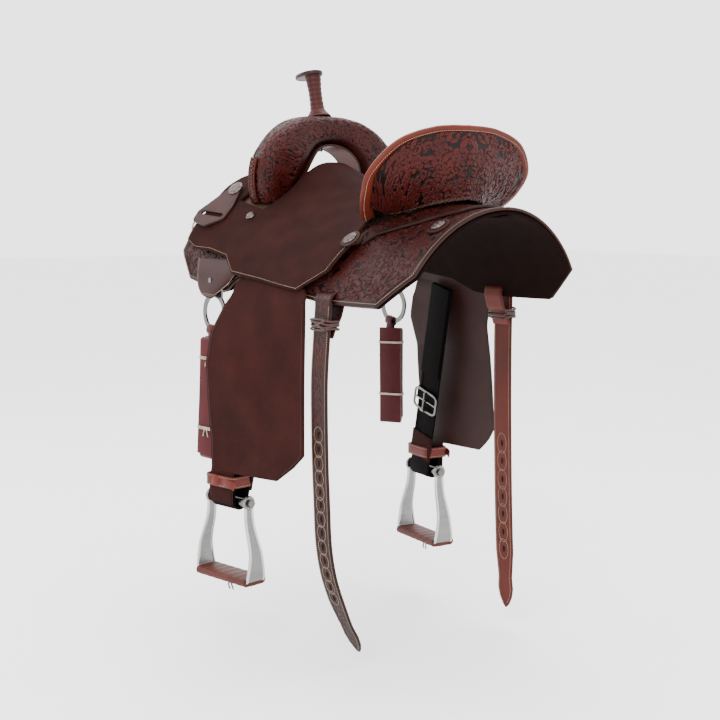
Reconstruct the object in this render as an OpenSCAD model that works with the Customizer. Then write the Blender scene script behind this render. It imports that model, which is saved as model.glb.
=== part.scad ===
// Western barrel saddle with in-skirt rigging, hung fenders and aluminium stirrups.
// X points to the horse's left, Y to its tail and Z up; the origin is on the centre line,
// level with the top of the skirts behind the cantle.

/* [Skirts] */
// Half width of the elliptical arch that the skirts follow
arch_w = 222; // [214:1:232]
// Height of that arch
arch_h = 258; // [240:1:275]
// Lift of the front end above the lowest point of the ridge line
front_rise = 84.5; // [60:0.5:100]
// Lift of the rear end above the lowest point of the ridge line
rear_rise = 8.5; // [4:0.5:16]
// Thickness of the skirt leather
skirt_t = 5.5; // [4:0.5:7]
// Thickness of the lining under the skirts
lining_t = 7; // [4:0.5:10]

/* [Seat] */
// Height of the seat jockeys above the skirts
jockey_lift = 18; // [17:0.5:22]
// Thickness of the seat leather
seat_t = 4.5; // [3.5:0.5:5.5]
// Half width of the raised seat
seat_waist = 84; // [74:1:92]
// Thickness of the cantle binding
binding_t = 11; // [8:0.5:14]

/* [Horn] */
// Height of the horn's cap above the fork
horn_h = 87; // [75:1:95]
// Diameter of the wrapped neck
horn_neck_d = 24; // [22:0.5:32]
// Length of the cap
cap_l = 62; // [54:1:72]
// Width of the cap
cap_w = 42; // [36:1:60]
// Tilt of the cap, its front edge up
cap_tilt = 10; // [0:1:15]

/* [Fenders] */
// Yaw of the stirrups and their leathers, front edges out
fender_yaw = 8; // [6:1:9]
// Thickness of the fender leather
fender_t = 4; // [3:0.5:4]
// Width of the stirrup leathers
leather_w = 64; // [60:1:70]

/* [Stirrups] */
// Clear width between the posts at the tread
tread_w = 134; // [124:1:138]
// Depth of the tread
tread_d = 43; // [38:1:48]
// Height from the tread to the bolt
stirrup_h = 137; // [130:1:142]
// Diameter of the bolt
bolt_d = 10; // [8:0.5:11]

/* [Straps] */
// Width of the rear billets
billet_w = 44; // [40:1:46]
// Thickness of the rear billets
billet_t = 4.5; // [3.5:0.5:5]
// Width of the folded latigo and off billet
latigo_w = 48; // [44:1:50]
// Outer diameter of the rigging rings
ring_od = 76; // [72:1:80]

/* [Hidden] */
$fn = 40;
gap = 0.4;
dip = 8.5;
dip_y = 150;
skirt_front = -320;
skirt_rear = 365;
hang_angle = 69;

chestnut = [0.42, 0.16, 0.10];
mahogany = [0.30, 0.11, 0.08];
roughout = [0.27, 0.15, 0.12];
lining_brown = [0.13, 0.08, 0.07];
maroon = [0.33, 0.13, 0.16];
black_strap = [0.09, 0.08, 0.08];
wood = [0.72, 0.58, 0.40];
steel = [0.62, 0.62, 0.62];

// ---- Surfaces -------------------------------------------------------------------------

// Height of the ridge line at a station along the back
function ridge(y) = y < dip_y
    ? -dip + front_rise * pow((dip_y - y) / (dip_y - skirt_front), 1.55)
    : -dip + rear_rise * pow((y - dip_y) / (skirt_rear - dip_y), 1.5);

// Section of the skirts: an ellipse down to hang_angle, then nearly straight down
function past(a) = max(0, a - hang_angle) * PI / 180;
function arch_x(a) = arch_w * (sin(min(a, hang_angle)) + 0.4 * past(a) * cos(hang_angle));
function arch_z(a) = -arch_h * (1 - cos(min(a, hang_angle)) + past(a) * sin(hang_angle));
function unit(v) = v / norm(v);
function arch_n(a) = unit([arch_h * sin(min(a, hang_angle)), arch_w * cos(min(a, hang_angle))]);
function angle_at(x) = asin(min(0.999, x / arch_w));

// Point at an angle and station, lifted off the skirts
function on_side(a, y, lift = 0) =
    [arch_x(a) + lift * arch_n(a).x, y, ridge(y) + arch_z(a) + lift * arch_n(a).y];

// Catmull-Rom curve through points, t from 0 to len - 1
function curve(p, t) =
    let (n = len(p) - 1, i = min(floor(t), n - 1), f = t - i)
    let (a = p[max(i - 1, 0)], b = p[i], c = p[i + 1], d = p[min(i + 2, n)])
    0.5 * (2 * b + (c - a) * f + (2 * a - 5 * b + 4 * c - d) * f * f
        + (3 * b - a - 3 * c + d) * f * f * f);

// Grid of points over rows of control points
function patch(rows, nu, nv) = [
    for (i = [0:nv])
        let (across = [for (j = [0:nu])
            curve([for (r = rows) curve(r, (len(r) - 1) * j / nu)], (len(rows) - 1) * i / nv)])
        across
];

// Unit normals of a grid
function grid_normals(g) = [
    for (i = [0:len(g) - 1])
        [for (j = [0:len(g[0]) - 1])
            let (du = g[i][min(j + 1, len(g[0]) - 1)] - g[i][max(j - 1, 0)])
            let (dv = g[min(i + 1, len(g) - 1)][j] - g[max(i - 1, 0)][j])
            let (n = unit(cross(du, dv)))
            abs(g[i][j].x) < 1.5 ? unit([0, n.y, n.z]) : n]
];

// The grid moved along its normals
function offset_grid(g, d) =
    let (n = grid_normals(g))
    [for (i = [0:len(g) - 1]) [for (j = [0:len(g[0]) - 1]) g[i][j] + d * n[i][j]]];

// Closed sheet between an upper and a lower grid of the same size
module between(top, low) {
    rows = len(top);
    cols = len(top[0]);
    count = rows * cols;
    points = concat([for (r = top) each r], [for (r = low) each r]);
    upper = [for (i = [0:rows - 2], j = [0:cols - 2])
        let (a = i * cols + j)
        each [[a, a + cols, a + cols + 1], [a, a + cols + 1, a + 1]]];
    under = [for (f = upper) [f[2] + count, f[1] + count, f[0] + count]];
    rim = concat(
        [for (j = [0:cols - 1]) j],
        [for (i = [1:rows - 1]) i * cols + cols - 1],
        [for (j = [cols - 2:-1:0]) (rows - 1) * cols + j],
        [for (i = [rows - 2:-1:1]) i * cols]);
    walls = [for (k = [0:len(rim) - 1])
        let (a = rim[k], b = rim[(k + 1) % len(rim)])
        each [[a, b, b + count], [a, b + count, a + count]]];
    polyhedron(points, concat(upper, under, walls), convexity = 6);
}

// Leather of one thickness whose outer face is a grid
module leather(top, t) {
    between(top, offset_grid(top, -t));
}

// Solid through closed rings of points
module loft(rings) {
    n = len(rings[0]);
    m = len(rings);
    points = [for (r = rings) each r];
    sides = [for (i = [0:m - 2], k = [0:n - 1])
        let (a = i * n + k, b = i * n + (k + 1) % n)
        each [[a, b, b + n], [a, b + n, a + n]]];
    ends = [[for (k = [n - 1:-1:0]) k], [for (k = [0:n - 1]) (m - 1) * n + k]];
    polyhedron(points, concat(sides, ends), convexity = 6);
}

// Flat strap of a width and thickness that follows a curve in the plane across its width
module strap(path, w, t) {
    n = len(path) - 1;
    dirs = [for (i = [0:n]) unit(path[min(i + 1, n)] - path[max(i - 1, 0)])];
    side = [for (d = dirs) [d.y, -d.x]];
    outer = [for (i = [0:n]) path[i] + side[i] * t / 2];
    inner = [for (i = [n:-1:0]) path[i] - side[i] * t / 2];
    rotate([90, 0, 0])
        linear_extrude(w, center = true)
            polygon(concat(outer, inner));
}

// ---- Skirts ---------------------------------------------------------------------------

skirt_front_line = [[0, -262], [20, -262], [29, -270], [41, -283], [51, -290], [67, -301],
    [77, -264]];
skirt_rear_line = [[0, 365], [8.5, 363], [20, 359], [33, 354], [43.6, 350], [53.3, 345],
    [66.1, 278], [80, 272]];
skirt_low_line = [[0, 77], [0.19, 76], [0.26, 73], [0.33, 67], [0.42, 62], [0.55, 61],
    [0.66, 65], [1, 66]];
skirt_top_line = [[0, 17], [0.22, 17], [0.34, 11], [0.78, 11], [0.86, 0.2], [1, 0.2]];

function skirt_grid(lift, inset = 0) = [
    for (i = [0:19])
        let (v = i / 19)
        [for (j = [0:10])
            let (top = lookup(v, skirt_top_line) + inset * 0.1)
            let (a = top + (lookup(v, skirt_low_line) - inset * 0.4 - top) * j / 10)
            let (y0 = lookup(a, skirt_front_line) + inset)
            let (y1 = lookup(a, skirt_rear_line) - inset)
            on_side(a, y0 + (y1 - y0) * v, lift)]
];

module skirt() {
    color(chestnut)
        difference() {
            between(skirt_grid(0), skirt_grid(-skirt_t));
            billet_slot();
        }
}

// Slot near the skirt's lower edge that the rear billet loops through
module billet_slot() {
    translate([195, billet_y, slot_z])
        cube([60, billet_w + 14, 16], center = true);
}

module skirt_lining() {
    color(lining_brown)
        difference() {
            between(skirt_grid(-skirt_t - gap, 1.5), skirt_grid(-skirt_t - gap - lining_t, 2));
            billet_slot();
        }
}

// Stitched leather patch over the join of the two skirts behind the cantle
module rear_patch() {
    color(lining_brown)
        translate([0, skirt_rear - 19, ridge(skirt_rear) - skirt_t - lining_t - 3.6])
            cube([26, 34, 2.6], center = true);
}

// ---- Tree -----------------------------------------------------------------------------

bar_front = -232;
bar_rear_line = [[13, 238], [20, 209], [23.5, 187], [27, 167], [43, 150]];

function bar_grid(lift) = [
    for (i = [0:14])
        let (v = i / 14)
        let (inner = 15 + 2 * cos(360 * v), outer = 43 - 5 * pow(abs(2 * v - 1), 4))
        [for (j = [0:5])
            let (a = inner + (outer - inner) * j / 5)
            on_side(a, bar_front + (lookup(a, bar_rear_line) - bar_front) * v, lift)]
];

module tree_bar() {
    color(wood)
        between(bar_grid(8.6), bar_grid(0.4));
}

// Outer, inner and centre stations of the fork, from the foot to the middle
fork_outer = [[126, 4], [136, 18], [146, 40], [151, 62], [147, 88], [132, 112], [104, 137],
    [71, 153], [36, 160], [0, 161]];
fork_inner = [[90, 19], [86, 26], [80, 38], [73, 52], [66, 68], [58, 84], [46, 99], [33, 109],
    [17, 115], [0, 117]];
fork_mid = [-152, -146, -136, -128, -123, -121, -125, -131, -136, -138];
fork_half = [34, 34, 33, 31, 30, 30, 31, 33, 35, 36];
fork_stations = 15;

// Ring of the fork at a station, grown by a skin
function fork_ring(t, grow, side = 1, n = 16) =
    let (o = curve(fork_outer, t), i = curve(fork_inner, t))
    let (dir = unit(o - i), mid = curve(fork_mid, t), half = curve(fork_half, t) + grow)
    let (c = (o + i) / 2, r = norm(o - i) / 2 + grow)
    [for (k = [0:n - 1])
        let (phi = -360 * k / n, cs = cos(phi), sn = sin(phi))
        let (u = r * sign(cs) * pow(abs(cs), 0.62), w = half * sign(sn) * pow(abs(sn), 0.62))
        [side * (c.x + dir.x * u), mid + w, c.y + dir.y * u]];

module fork_solid(grow, foot = 0) {
    last = len(fork_outer) - 1;
    step = last / fork_stations;
    left = [for (k = [0:fork_stations]) fork_ring(step * k, grow)];
    right = [for (k = [fork_stations - 1:-1:0]) fork_ring(step * k, grow, -1)];
    sunk = [for (p = left[0]) p + foot * unit([-0.5, 0, -1])];
    sunk_right = [for (p = right[fork_stations - 1]) p + foot * unit([0.5, 0, -1])];
    rings = concat(foot > 0 ? [sunk] : [], left, right, foot > 0 ? [sunk_right] : []);
    loft(rings);
}

module tree_fork() {
    color(wood)
        difference() {
            fork_solid(0);
            translate([0, horn_y, 60])
                cylinder(h = 120, d = horn_core_d + 0.6);
        }
}

module swell_cover() {
    color(chestnut)
        difference() {
            fork_solid(4);
            fork_solid(gap, 12);
            horn_bore(horn_neck_d + 14);
        }
}

module horn_bore(d) {
    translate([0, horn_y, 90])
        cylinder(h = 110, d = d);
}

// Lining strip up the inside of the gullet
function gullet_grid(lift) = [
    for (i = [0:24])
        let (s = 2 * i / 24 - 1, t = (1 - abs(s)) * 8.4 + 0.6)
        let (o = curve(fork_outer, t), p = curve(fork_inner, t), dir = unit(o - p))
        [for (j = [0:4])
            let (q = p - dir * (4 + gap + lift))
            [(s < 0 ? 1 : -1) * q.x, curve(fork_mid, t) + (j / 2 - 1) * curve(fork_half, t), q.y]]
];

module gullet_lining() {
    color(chestnut)
        between(gullet_grid(0), gullet_grid(2.6));
}

// Laced seam down the outside of each swell
module swell_lacing() {
    color(mahogany)
        for (side = [0, 1])
            mirror([side, 0, 0])
                loft([for (k = [0:12])
                    let (t = 0.35 + 3.5 * k / 12, o = curve(fork_outer, t))
                    let (p = curve(fork_inner, t), dir = unit(o - p), r = norm(o - p) / 2)
                    let (c = (o + p) / 2 + dir * (r + 4 + gap), y = curve(fork_mid, t) - 4)
                    [for (q = [[0, -9], [0, 9], [2.4, 9], [2.4, -9]])
                        [c.x + dir.x * q.x, y + q.y, c.y + dir.y * q.x]]]);
}

// ---- Horn -----------------------------------------------------------------------------

horn_y = -143;
horn_lean = 13;
horn_core_d = 15;
fork_top = 161;

module horn_place() {
    translate([0, horn_y, fork_top])
        rotate([horn_lean, 0, 0])
            children();
}

module horn_core() {
    color(steel)
        union() {
            horn_place()
                cylinder(h = horn_h - 1, d = horn_core_d);
            translate([0, horn_y, 100])
                cylinder(h = fork_top - 99, d = horn_core_d);
        }
}

module horn_wrap() {
    color(mahogany)
        horn_place()
            difference() {
                rotate_extrude()
                    polygon([[0, 5], [23, 5], [17, 9], [horn_neck_d / 2 + 1, 18],
                        [horn_neck_d / 2, 34], [horn_neck_d / 2, 54],
                        [horn_neck_d / 2 + 3, horn_h - 5], [0, horn_h - 5]]);
                translate([0, 0, -20])
                    cylinder(h = horn_h + 40, d = horn_core_d + 0.6);
            }
}

module horn_cap() {
    color(mahogany)
        horn_place()
            translate([0, -12, horn_h])
                rotate([cap_tilt - horn_lean, 0, 0])
                    difference() {
                        hull() {
                            translate([0, -cap_l / 2 + cap_w / 2, -3.5])
                                cylinder(h = 7, d = cap_w - 4, $fn = 32);
                            translate([0, cap_l / 2 - cap_w / 2, -3.5])
                                cylinder(h = 7, d = cap_w - 6, $fn = 32);
                            translate([0, -cap_l / 2 + cap_w / 2, -1.5])
                                cylinder(h = 3, d = cap_w, $fn = 32);
                            translate([0, cap_l / 2 - cap_w / 2, -1.5])
                                cylinder(h = 3, d = cap_w - 2, $fn = 32);
                        }
                        translate([0, 12, -20])
                            cylinder(h = 20, d = horn_core_d + 1);
                    }
}

// ---- Seat -----------------------------------------------------------------------------

seat_crown = [[-200, 0], [-140, 12], [-100, 40], [-50, 30], [0, 22], [60, 17], [110, 19], [165, 30]];
seat_front_line = [[0, -97], [12, -98], [20, -103], [28, -110], [33, -116], [36, -124]];
wing_front_line = [[20, -250], [24.5, -256], [32, -260], [46.5, -258], [56, -271], [61.4, -273],
    [66, -257]];
seat_rear_line = [[0, 150], [30, 152], [42, 163], [54, 146], [63.6, 84], [70, 60]];
jockey_low_line = [[-262, 62], [-237, 63.5], [-189, 61.5], [-141, 61], [-107, 66], [-23, 64.4],
    [84, 63.6]];

function seat_raise(x, y) = lookup(y, seat_crown) * exp(-pow(abs(x) / seat_waist, 3));

function seat_point(a, y, drop = 0) =
    let (p = on_side(a, y, jockey_lift - drop))
    [p.x, p.y, p.z + seat_raise(p.x, y)];

// Part of the seat between two angles; ends are functions of the angle
function seat_grid(a0, a1, front, rear, nu, nv, drop) = [
    for (i = [0:nv])
        [for (j = [0:nu])
            let (a = a0 + (a1 - a0) * j / nu)
            let (y0 = lookup(a, front), y1 = lookup(a, rear))
            seat_point(a, y0 + (y1 - y0) * i / nv, drop)]
];

// Side jockey: its lower edge follows jockey_low_line
function jockey_grid(drop) = [
    for (i = [0:20])
        [for (j = [0:6])
            let (v = i / 20, y_mid = -262 + 346 * v)
            let (a = 36 + (lookup(y_mid, jockey_low_line) - 36) * j / 6)
            let (y0 = lookup(a, wing_front_line), y1 = lookup(a, seat_rear_line))
            seat_point(a, y0 + (y1 - y0) * v, drop)]
];

// Inner face of the cantle, from the seat to the rim
dish_rows = [
    [[-1, 146, 39], [36, 146, 33], [70, 147, 12], [98, 148, -14], [118, 151, -26]],
    [[-1, 205, 68], [42, 204, 64], [86, 200, 48], [119, 190, 17], [126, 164, -17]],
    [[-1, 256, 122], [66, 252, 118], [126, 238, 93], [154, 213, 36], [130, 170, -12]]
];

module seat_half() {
    between(seat_grid(-0.3, 36.3, seat_front_line, seat_rear_line, 9, 13, 0),
        seat_grid(-0.3, 36.3, seat_front_line, seat_rear_line, 9, 13, seat_t));
    between(jockey_grid(0), jockey_grid(seat_t));
    between(seat_grid(23, 36.2, wing_front_line, [[23, -192], [36.2, -196]], 4, 5, 0),
        seat_grid(23, 36.2, wing_front_line, [[23, -192], [36.2, -196]], 4, 5, seat_t));
    leather(patch(dish_rows, 8, 6), seat_t);
}

module seat_leather() {
    color(roughout)
        union() {
            seat_half();
            mirror([1, 0, 0])
                seat_half();
        }
}

// Shaped leather and steel strainer between the bars and the seat
module ground_seat() {
    front = [[0, -90], [12, -90], [20, -95], [26, -100]];
    rear = [[0, 140], [26, 140]];
    color(wood)
        for (side = [0, 1])
            mirror([side, 0, 0])
                between(seat_grid(side * 0.05, 25, front, rear, 6, 10, seat_t + 0.6),
                    seat_grid(side * 0.05, 25, front, rear, 6, 10, seat_t + 4.6));
}

// ---- Cantle ---------------------------------------------------------------------------

// Outer edge of the roll, from the middle to its foot beside the seat
rim = [[0, 266, 125], [66, 261, 121], [130, 250, 100], [167, 231, 58], [164, 211, 25],
    [148, 188, 0], [126, 166, -18]];

module tree_cantle() {
    rows = [dish_rows[0], dish_rows[1], dish_rows[2]];
    g = patch([for (r = rows) [for (k = [0:3]) r[k]]], 8, 8);
    inner = [for (i = [3:8]) offset_grid(g, -seat_t - gap)[i]];
    outer = [for (i = [3:8]) offset_grid(g, -seat_t - gap - 11)[i]];
    color(wood)
        union() {
            between(inner, outer);
            mirror([1, 0, 0])
                between(inner, outer);
        }
}

// Tooled top face of the roll
module cantle_facing() {
    inner = [for (p = dish_rows[2]) p + [0, 0, 1]];
    outer = [for (k = [0:4]) curve(rim, k * 1.48) + unit([curve(rim, k * 1.48).x, 80, 40]) * 4];
    mid = [for (k = [0:4]) (inner[k] + outer[k]) / 2 + [0, 1, 5]];
    color(chestnut)
        for (side = [0, 1])
            mirror([side, 0, 0])
                leather(patch([inner, mid, outer], 14, 3), 3);
}

// Smooth binding rolled over the edge
module cantle_binding() {
    n = 14;
    half = [for (k = [0:n]) curve(rim, 6 * k / n)];
    path = concat([for (k = [n:-1:1]) half[k]], [for (p = half) [-p.x, p.y, p.z]]);
    m = len(path) - 1;
    rings = [for (i = [0:m])
        let (t = unit(path[min(i + 1, m)] - path[max(i - 1, 0)]))
        let (out = unit(cross(t, [0, 0.55, -0.83])), up = cross(out, t))
        [for (k = [0:11]) path[i] + out * cos(30 * k) * binding_t + up * sin(30 * k) * binding_t / 2]];
    color(chestnut)
        loft(rings);
}

back_top = [[0, 258, 110], [60, 257, 110], [105, 253, 103], [136, 246, 80], [130, 232, 40],
    [112, 200, 4]];
back_foot = [[0, 268, 11], [35, 260, 7], [58, 240, 1], [76, 216, -7], [88, 192, -13],
    [97, 174, -15]];

// Tooled panel up the back of the cantle
module cantle_back() {
    mid = [for (k = [0:5]) (back_top[k] + back_foot[k]) / 2 + [0, 5, 0]];
    color(chestnut)
        for (side = [0, 1])
            mirror([side, 0, 0])
                leather(patch([back_top, mid, back_foot], 12, 6), 3.5);
}

// Tooled leather between the cantle and the skirts
jockey_border = [[0, 322], [14, 316], [24, 262], [33, 186], [40, 166]];

module rear_jockey() {
    foot = [[0, 262], [9, 256], [15, 238], [20, 214], [23.5, 192], [27, 172]];
    function grid(lift) = [
        for (i = [0:8])
            [for (j = [0:10])
                let (a0 = 27 * j / 10, a1 = 39 * j / 10, a = a0 + (a1 - a0) * i / 8)
                let (y0 = lookup(a0, foot), y1 = lookup(a1, jockey_border))
                on_side(a, y0 + (y1 - y0) * i / 8, lift)]
    ];
    color(chestnut)
        for (side = [0, 1])
            mirror([side, 0, 0])
                between(grid(6), grid(1.2));
}

// ---- Rigging --------------------------------------------------------------------------

ring_centre = [213, -174, -197];
off_side_shift = [0, 0, -4];
ring_band = 9;
ring_t = 3.6;

// Flat steel plate: a ring below, and a tab above that is riveted between the leathers
module rigging_plate() {
    color(steel)
        translate(ring_centre)
            rotate([0, 90, 0])
                linear_extrude(ring_t, center = true)
                    difference() {
                        union() {
                            circle(d = ring_od, $fn = 64);
                            translate([-52, 0])
                                square([50, 52], center = true);
                        }
                        circle(d = ring_od - 2 * ring_band, $fn = 64);
                        translate([-60, 0])
                            circle(d = rivet_d + 0.5);
                        translate([-45, 9])
                            circle(d = rivet_d + 0.5);
                    }
}

rivet_d = 5;
rivet_l = 12;

// Leather over the plate, drawn to a rounded tip below
cover_lift = 6;

module rigging_cover() {
    rows = [
        [[203.8, -226, -98], [210, -222, -121], [216, -214, -149], [219, -199, -164]],
        [[201.2, -200, -98], [209.5, -199, -123], [217, -194, -154], [220, -186, -168]],
        [[197.6, -165, -98], [207, -164, -123], [217, -164, -155], [220, -168, -170]],
        [[193.4, -127, -98], [202, -128, -118], [213, -138, -146], [217, -153, -163]],
        [[190, -96, -98], [195, -98, -108], [203.4, -108, -125], [208.2, -124, -142]]
    ];
    lifted = [for (r = rows) [for (p = r) p + [cover_lift, 0, 0]]];
    color(chestnut)
        difference() {
            leather(patch(lifted, 6, 9), 3.4);
            rivet_holes(rivet_d + 0.5);
        }
}

module rivet_holes(d) {
    for (p = [[0, 60], [-9, 45]])
        translate([ring_centre.x - 40, ring_centre.y + p.x, ring_centre.z + p.y])
            rotate([0, 90, 0])
                cylinder(h = 80, d = d);
}

module rigging_rivets() {
    color(steel)
        for (side = [0, 1])
            mirror([side, 0, 0])
                for (p = [[0, 60], [-9, 45]])
                    translate(side * off_side_shift)
                    translate([ring_centre.x, ring_centre.y + p.x, ring_centre.z + p.y])
                        rotate([0, 90, 0])
                            translate([0, 0, -3])
                                union() {
                                    cylinder(h = rivet_l, d = rivet_d);
                                    translate([0, 0, rivet_l])
                                        cylinder(h = 1.6, d = 10);
                                }
}

// ---- Latigo and off billet ------------------------------------------------------------

loop_angle = 12;
loop_w = 18;
hank_turn = 16;

// The ring's lower bar, where a strap loops round it
module at_ring_bar() {
    translate(ring_centre)
        rotate([-loop_angle, 0, 0])
            translate([0, 0, -ring_od / 2 + ring_band / 2])
                children();
}

// The hank below the bar: local Z up along it
module at_hank() {
    at_ring_bar()
        rotate([loop_angle - 4, 0, 0])
            rotate([0, 0, hank_turn])
                children();
}

// Strap folded in a hank below the ring; a narrow loop passes round the ring
module folded_strap(length) {
    difference() {
        union() {
            at_ring_bar()
                rotate([90, 0, 0])
                    cylinder(h = loop_w, r = 9.8, center = true);
            at_hank()
                for (k = [-1, 0, 1])
                    translate([k * 6, 0, -length / 2 - 8 + abs(k) * 3])
                        cube([5.8, latigo_w - 2 * abs(k), length - 6 * k], center = true);
            at_hank()
                translate([0, 0, -length / 2 - 12])
                    cube([16, latigo_w - 4, length - 8], center = true);
        }
        at_ring_bar()
            rotate([90, 0, 0])
                cylinder(h = latigo_w + 30, r = 6.6, center = true);
    }
}

module latigo() {
    color(maroon)
        folded_strap(236);
}

module off_billet() {
    color(maroon)
        folded_strap(200);
}

// Twine bound round a folded strap
module strap_ties(drops) {
    color("wheat")
        for (z = drops)
            at_hank()
                translate([0, 0, -z])
                    difference() {
                        cube([22, latigo_w + 4, 3], center = true);
                        cube([18.8, latigo_w + 0.8, 5], center = true);
                    }
}

// ---- Keepers and rings on the front jockeys -------------------------------------------

// Frame on the front jockey: local Z is the leather's outward normal
front_concho = [127, -222, 21];
keeper_angle = 47;
keeper_pitch = 9;
tab_angle = -30;
tab_drop = 7;
ring_hold = 70;
tube_r = 3.7;

module on_front_jockey(rise = 0) {
    translate(front_concho)
        rotate([-keeper_pitch, keeper_angle, 0])
            translate([0, 0, rise])
                children();
}

// Drop-shaped keeper with a slot, hung from the front concho
module latigo_keeper() {
    color(mahogany)
        on_front_jockey(9)
            linear_extrude(4.4)
                difference() {
                    hull() {
                        circle(d = 30);
                        for (p = [[42, 18], [66, 18], [85, -10], [80, -41], [66, -43]])
                            translate(p)
                                circle(d = 20);
                    }
                    circle(d = 7);
                    hull() {
                        translate([66, -36])
                            circle(d = 8.6);
                        translate([65, 14])
                            circle(d = 8.6);
                    }
                }
}

// Strap end that holds each breast-collar ring
module on_tab() {
    on_front_jockey(0.4)
        rotate([0, tab_drop, 0])
            rotate([0, 0, tab_angle])
                children();
}

module ring_tabs() {
    color(mahogany)
        for (side = [0, 1])
            mirror([side, 0, 0])
                on_tab()
                    difference() {
                        union() {
                            translate([15, -7, 0])
                                cube([ring_hold - 16, 14, 3]);
                            translate([ring_hold, 4.5, tube_r])
                                rotate([90, 0, 0])
                                    cylinder(h = 9, r = tube_r);
                        }
                        translate([ring_hold, 9, tube_r])
                            rotate([90, 0, 0])
                                cylinder(h = 18, r = 2.3);
                    }
}

module breast_ring() {
    color(steel)
        on_tab()
            translate([ring_hold + 22, 0, tube_r])
                rotate_extrude($fn = 64)
                    translate([22, 0])
                        circle(r = 1.5, $fn = 16);
}

// ---- Conchos --------------------------------------------------------------------------

// Places: the lift off the skirts, angle and station, then the radii of leather and metal
concho_places = [
    [front_concho, keeper_angle, 13.6, 0, 15, keeper_pitch],
    [on_side(41, -136, jockey_lift), 41, 1, 0, 9, 10],
    [on_side(40, 158, jockey_lift + 0.5), 40, 0.5, 19, 12.5, 0],
    [on_side(28, 318, 1), 31, 0.3, 20, 12, -1]
];

module at_concho(p) {
    translate(p[0])
        rotate([-p[5], p[1], 0])
            translate([0, 0, p[2]])
                children();
}

module rosettes() {
    color(mahogany)
        for (side = [0, 1], p = concho_places)
            if (p[3] > 0)
                mirror([side, 0, 0])
                    at_concho(p)
                        cylinder(h = 3, r = p[3]);
}

module conchos() {
    color(steel)
        for (side = [0, 1], p = concho_places)
            mirror([side, 0, 0])
                at_concho(p)
                    translate([0, 0, p[3] > 0 ? 3.2 : 0])
                        intersection() {
                            cylinder(h = 6, r = p[4]);
                            translate([0, 0, 4.5 - p[4] * 2])
                                sphere(r = p[4] * 2, $fn = 64);
                        }
}

// ---- Fenders --------------------------------------------------------------------------

// Rows of the fender: height, then the rear edge and the front edge in plan
fender_rows = [
    [-137, 200, 66, 200, -84], [-141, 205, 80, 205, -90], [-145, 209, 92, 209, -96],
    [-152, 214, 107, 216, -104], [-180, 217, 111, 226, -124], [-225, 219, 113, 244, -138],
    [-281, 223, 118, 260, -134], [-340, 226, 122, 260, -129], [-400, 229, 125, 259, -121],
    [-416, 230, 126, 258.5, -118], [-440, 233, 100, 258.5, -117], [-468, 238, 60, 258.5, -117],
    [-473, 251, -58, 258.5, -118], [-500, 251.5, -60, 259, -123], [-532, 251.5, -61, 259, -127]
];

// Above hug_z the fender follows the skirts; below it hangs free
hug_z = -150;
hug_lift = 9.6;

function fender_point(r, f) =
    let (x = r[1] + (r[3] - r[1]) * f, y = r[2] + (r[4] - r[2]) * f, z = r[0])
    z < hug_z ? [x, y, z] : on_side(acos(1 + (z - ridge(y)) / arch_h), y, hug_lift);

function fender_grid(drop) = [
    for (r = fender_rows)
        [for (j = [0:10]) fender_point(r, j / 10) - [drop, 0, 0]]
];

module fender() {
    color(roughout)
        between(fender_grid(0), fender_grid(fender_t));
}

// Local frame at the bolt: X out, Y along the bolt to the rear
bolt_pos = [233.6, -94, -527];

module at_bolt() {
    translate(bolt_pos)
        rotate([0, 0, fender_yaw])
            children();
}

// Middle of the stirrup leather's long run, from its top to its foot at the bolt
leather_top = [202.6, -12.5, -155];
leather_foot = bolt_pos - [13.6, 2, 0];
leather_run = leather_foot - leather_top;
leather_t = 4.5;
loop_r = 16;

// Frame on the long run, at a distance below its top: local X is outward
module on_leather(drop) {
    translate(leather_top + leather_run * drop / norm(leather_run))
        rotate([atan(leather_run.y / -leather_run.z), atan(leather_run.x / leather_run.z), 0])
            rotate([0, 0, fender_yaw])
                children();
}

// Leather down behind the fender, round under the bolt and up inside the hobble strap
module stirrup_leather() {
    length = norm(leather_run);
    color(black_strap)
        union() {
            on_leather(length / 2)
                cube([leather_t, leather_w, length], center = true);
            on_leather(90)
                translate([-leather_t, 0, 0])
                    cube([leather_t + 0.6, leather_w, 180], center = true);
            at_bolt()
                difference() {
                    rotate([90, 0, 0])
                        cylinder(h = leather_w, r = loop_r, center = true);
                    rotate([90, 0, 0])
                        cylinder(h = leather_w + 20, r = loop_r - leather_t, center = true);
                    translate([-30, -60, 0])
                        cube([60, 120, 40]);
                }
            at_bolt()
                translate([loop_r - leather_t, -leather_w / 2, -0.5])
                    cube([leather_t, leather_w, 46]);
        }
}

// Two-bar buckle on the inner face of the stirrup leather
buckle_drop = 236;

module leather_buckle() {
    color(steel)
        on_leather(buckle_drop)
            translate([-leather_t / 2 - 3.5, 0, 0])
                rotate([0, -90, 0])
                    linear_extrude(3.2)
                        difference() {
                            square([44, leather_w + 16], center = true);
                            square([34, leather_w + 6], center = true);
                        }
}

module buckle_tongue() {
    color(steel)
        on_leather(buckle_drop + 19)
            translate([-leather_t / 2 - 9.6, 0, 0])
                union() {
                    cylinder(h = 38, d = 4);
                    rotate([90, 0, 0])
                        cylinder(h = 12, d = 5, center = true);
                }
}

// Strap buckled round the fender's neck above the stirrup
module hobble_strap() {
    color(chestnut)
        at_bolt()
            translate([2.8, 1, 37])
                difference() {
                    cube([51, 78, 22], center = true);
                    cube([45, 72, 24], center = true);
                }
}

// ---- Stirrups -------------------------------------------------------------------------

// Half outline of the band in the stirrup's own plane: along the bolt, then down
post_line = [[51, 0], [51, -22], [54, -42], [62, -66], [tread_w / 2 + 2, -90],
    [tread_w / 2 + 3, -114], [tread_w / 2 + 2, -stirrup_h]];

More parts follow.
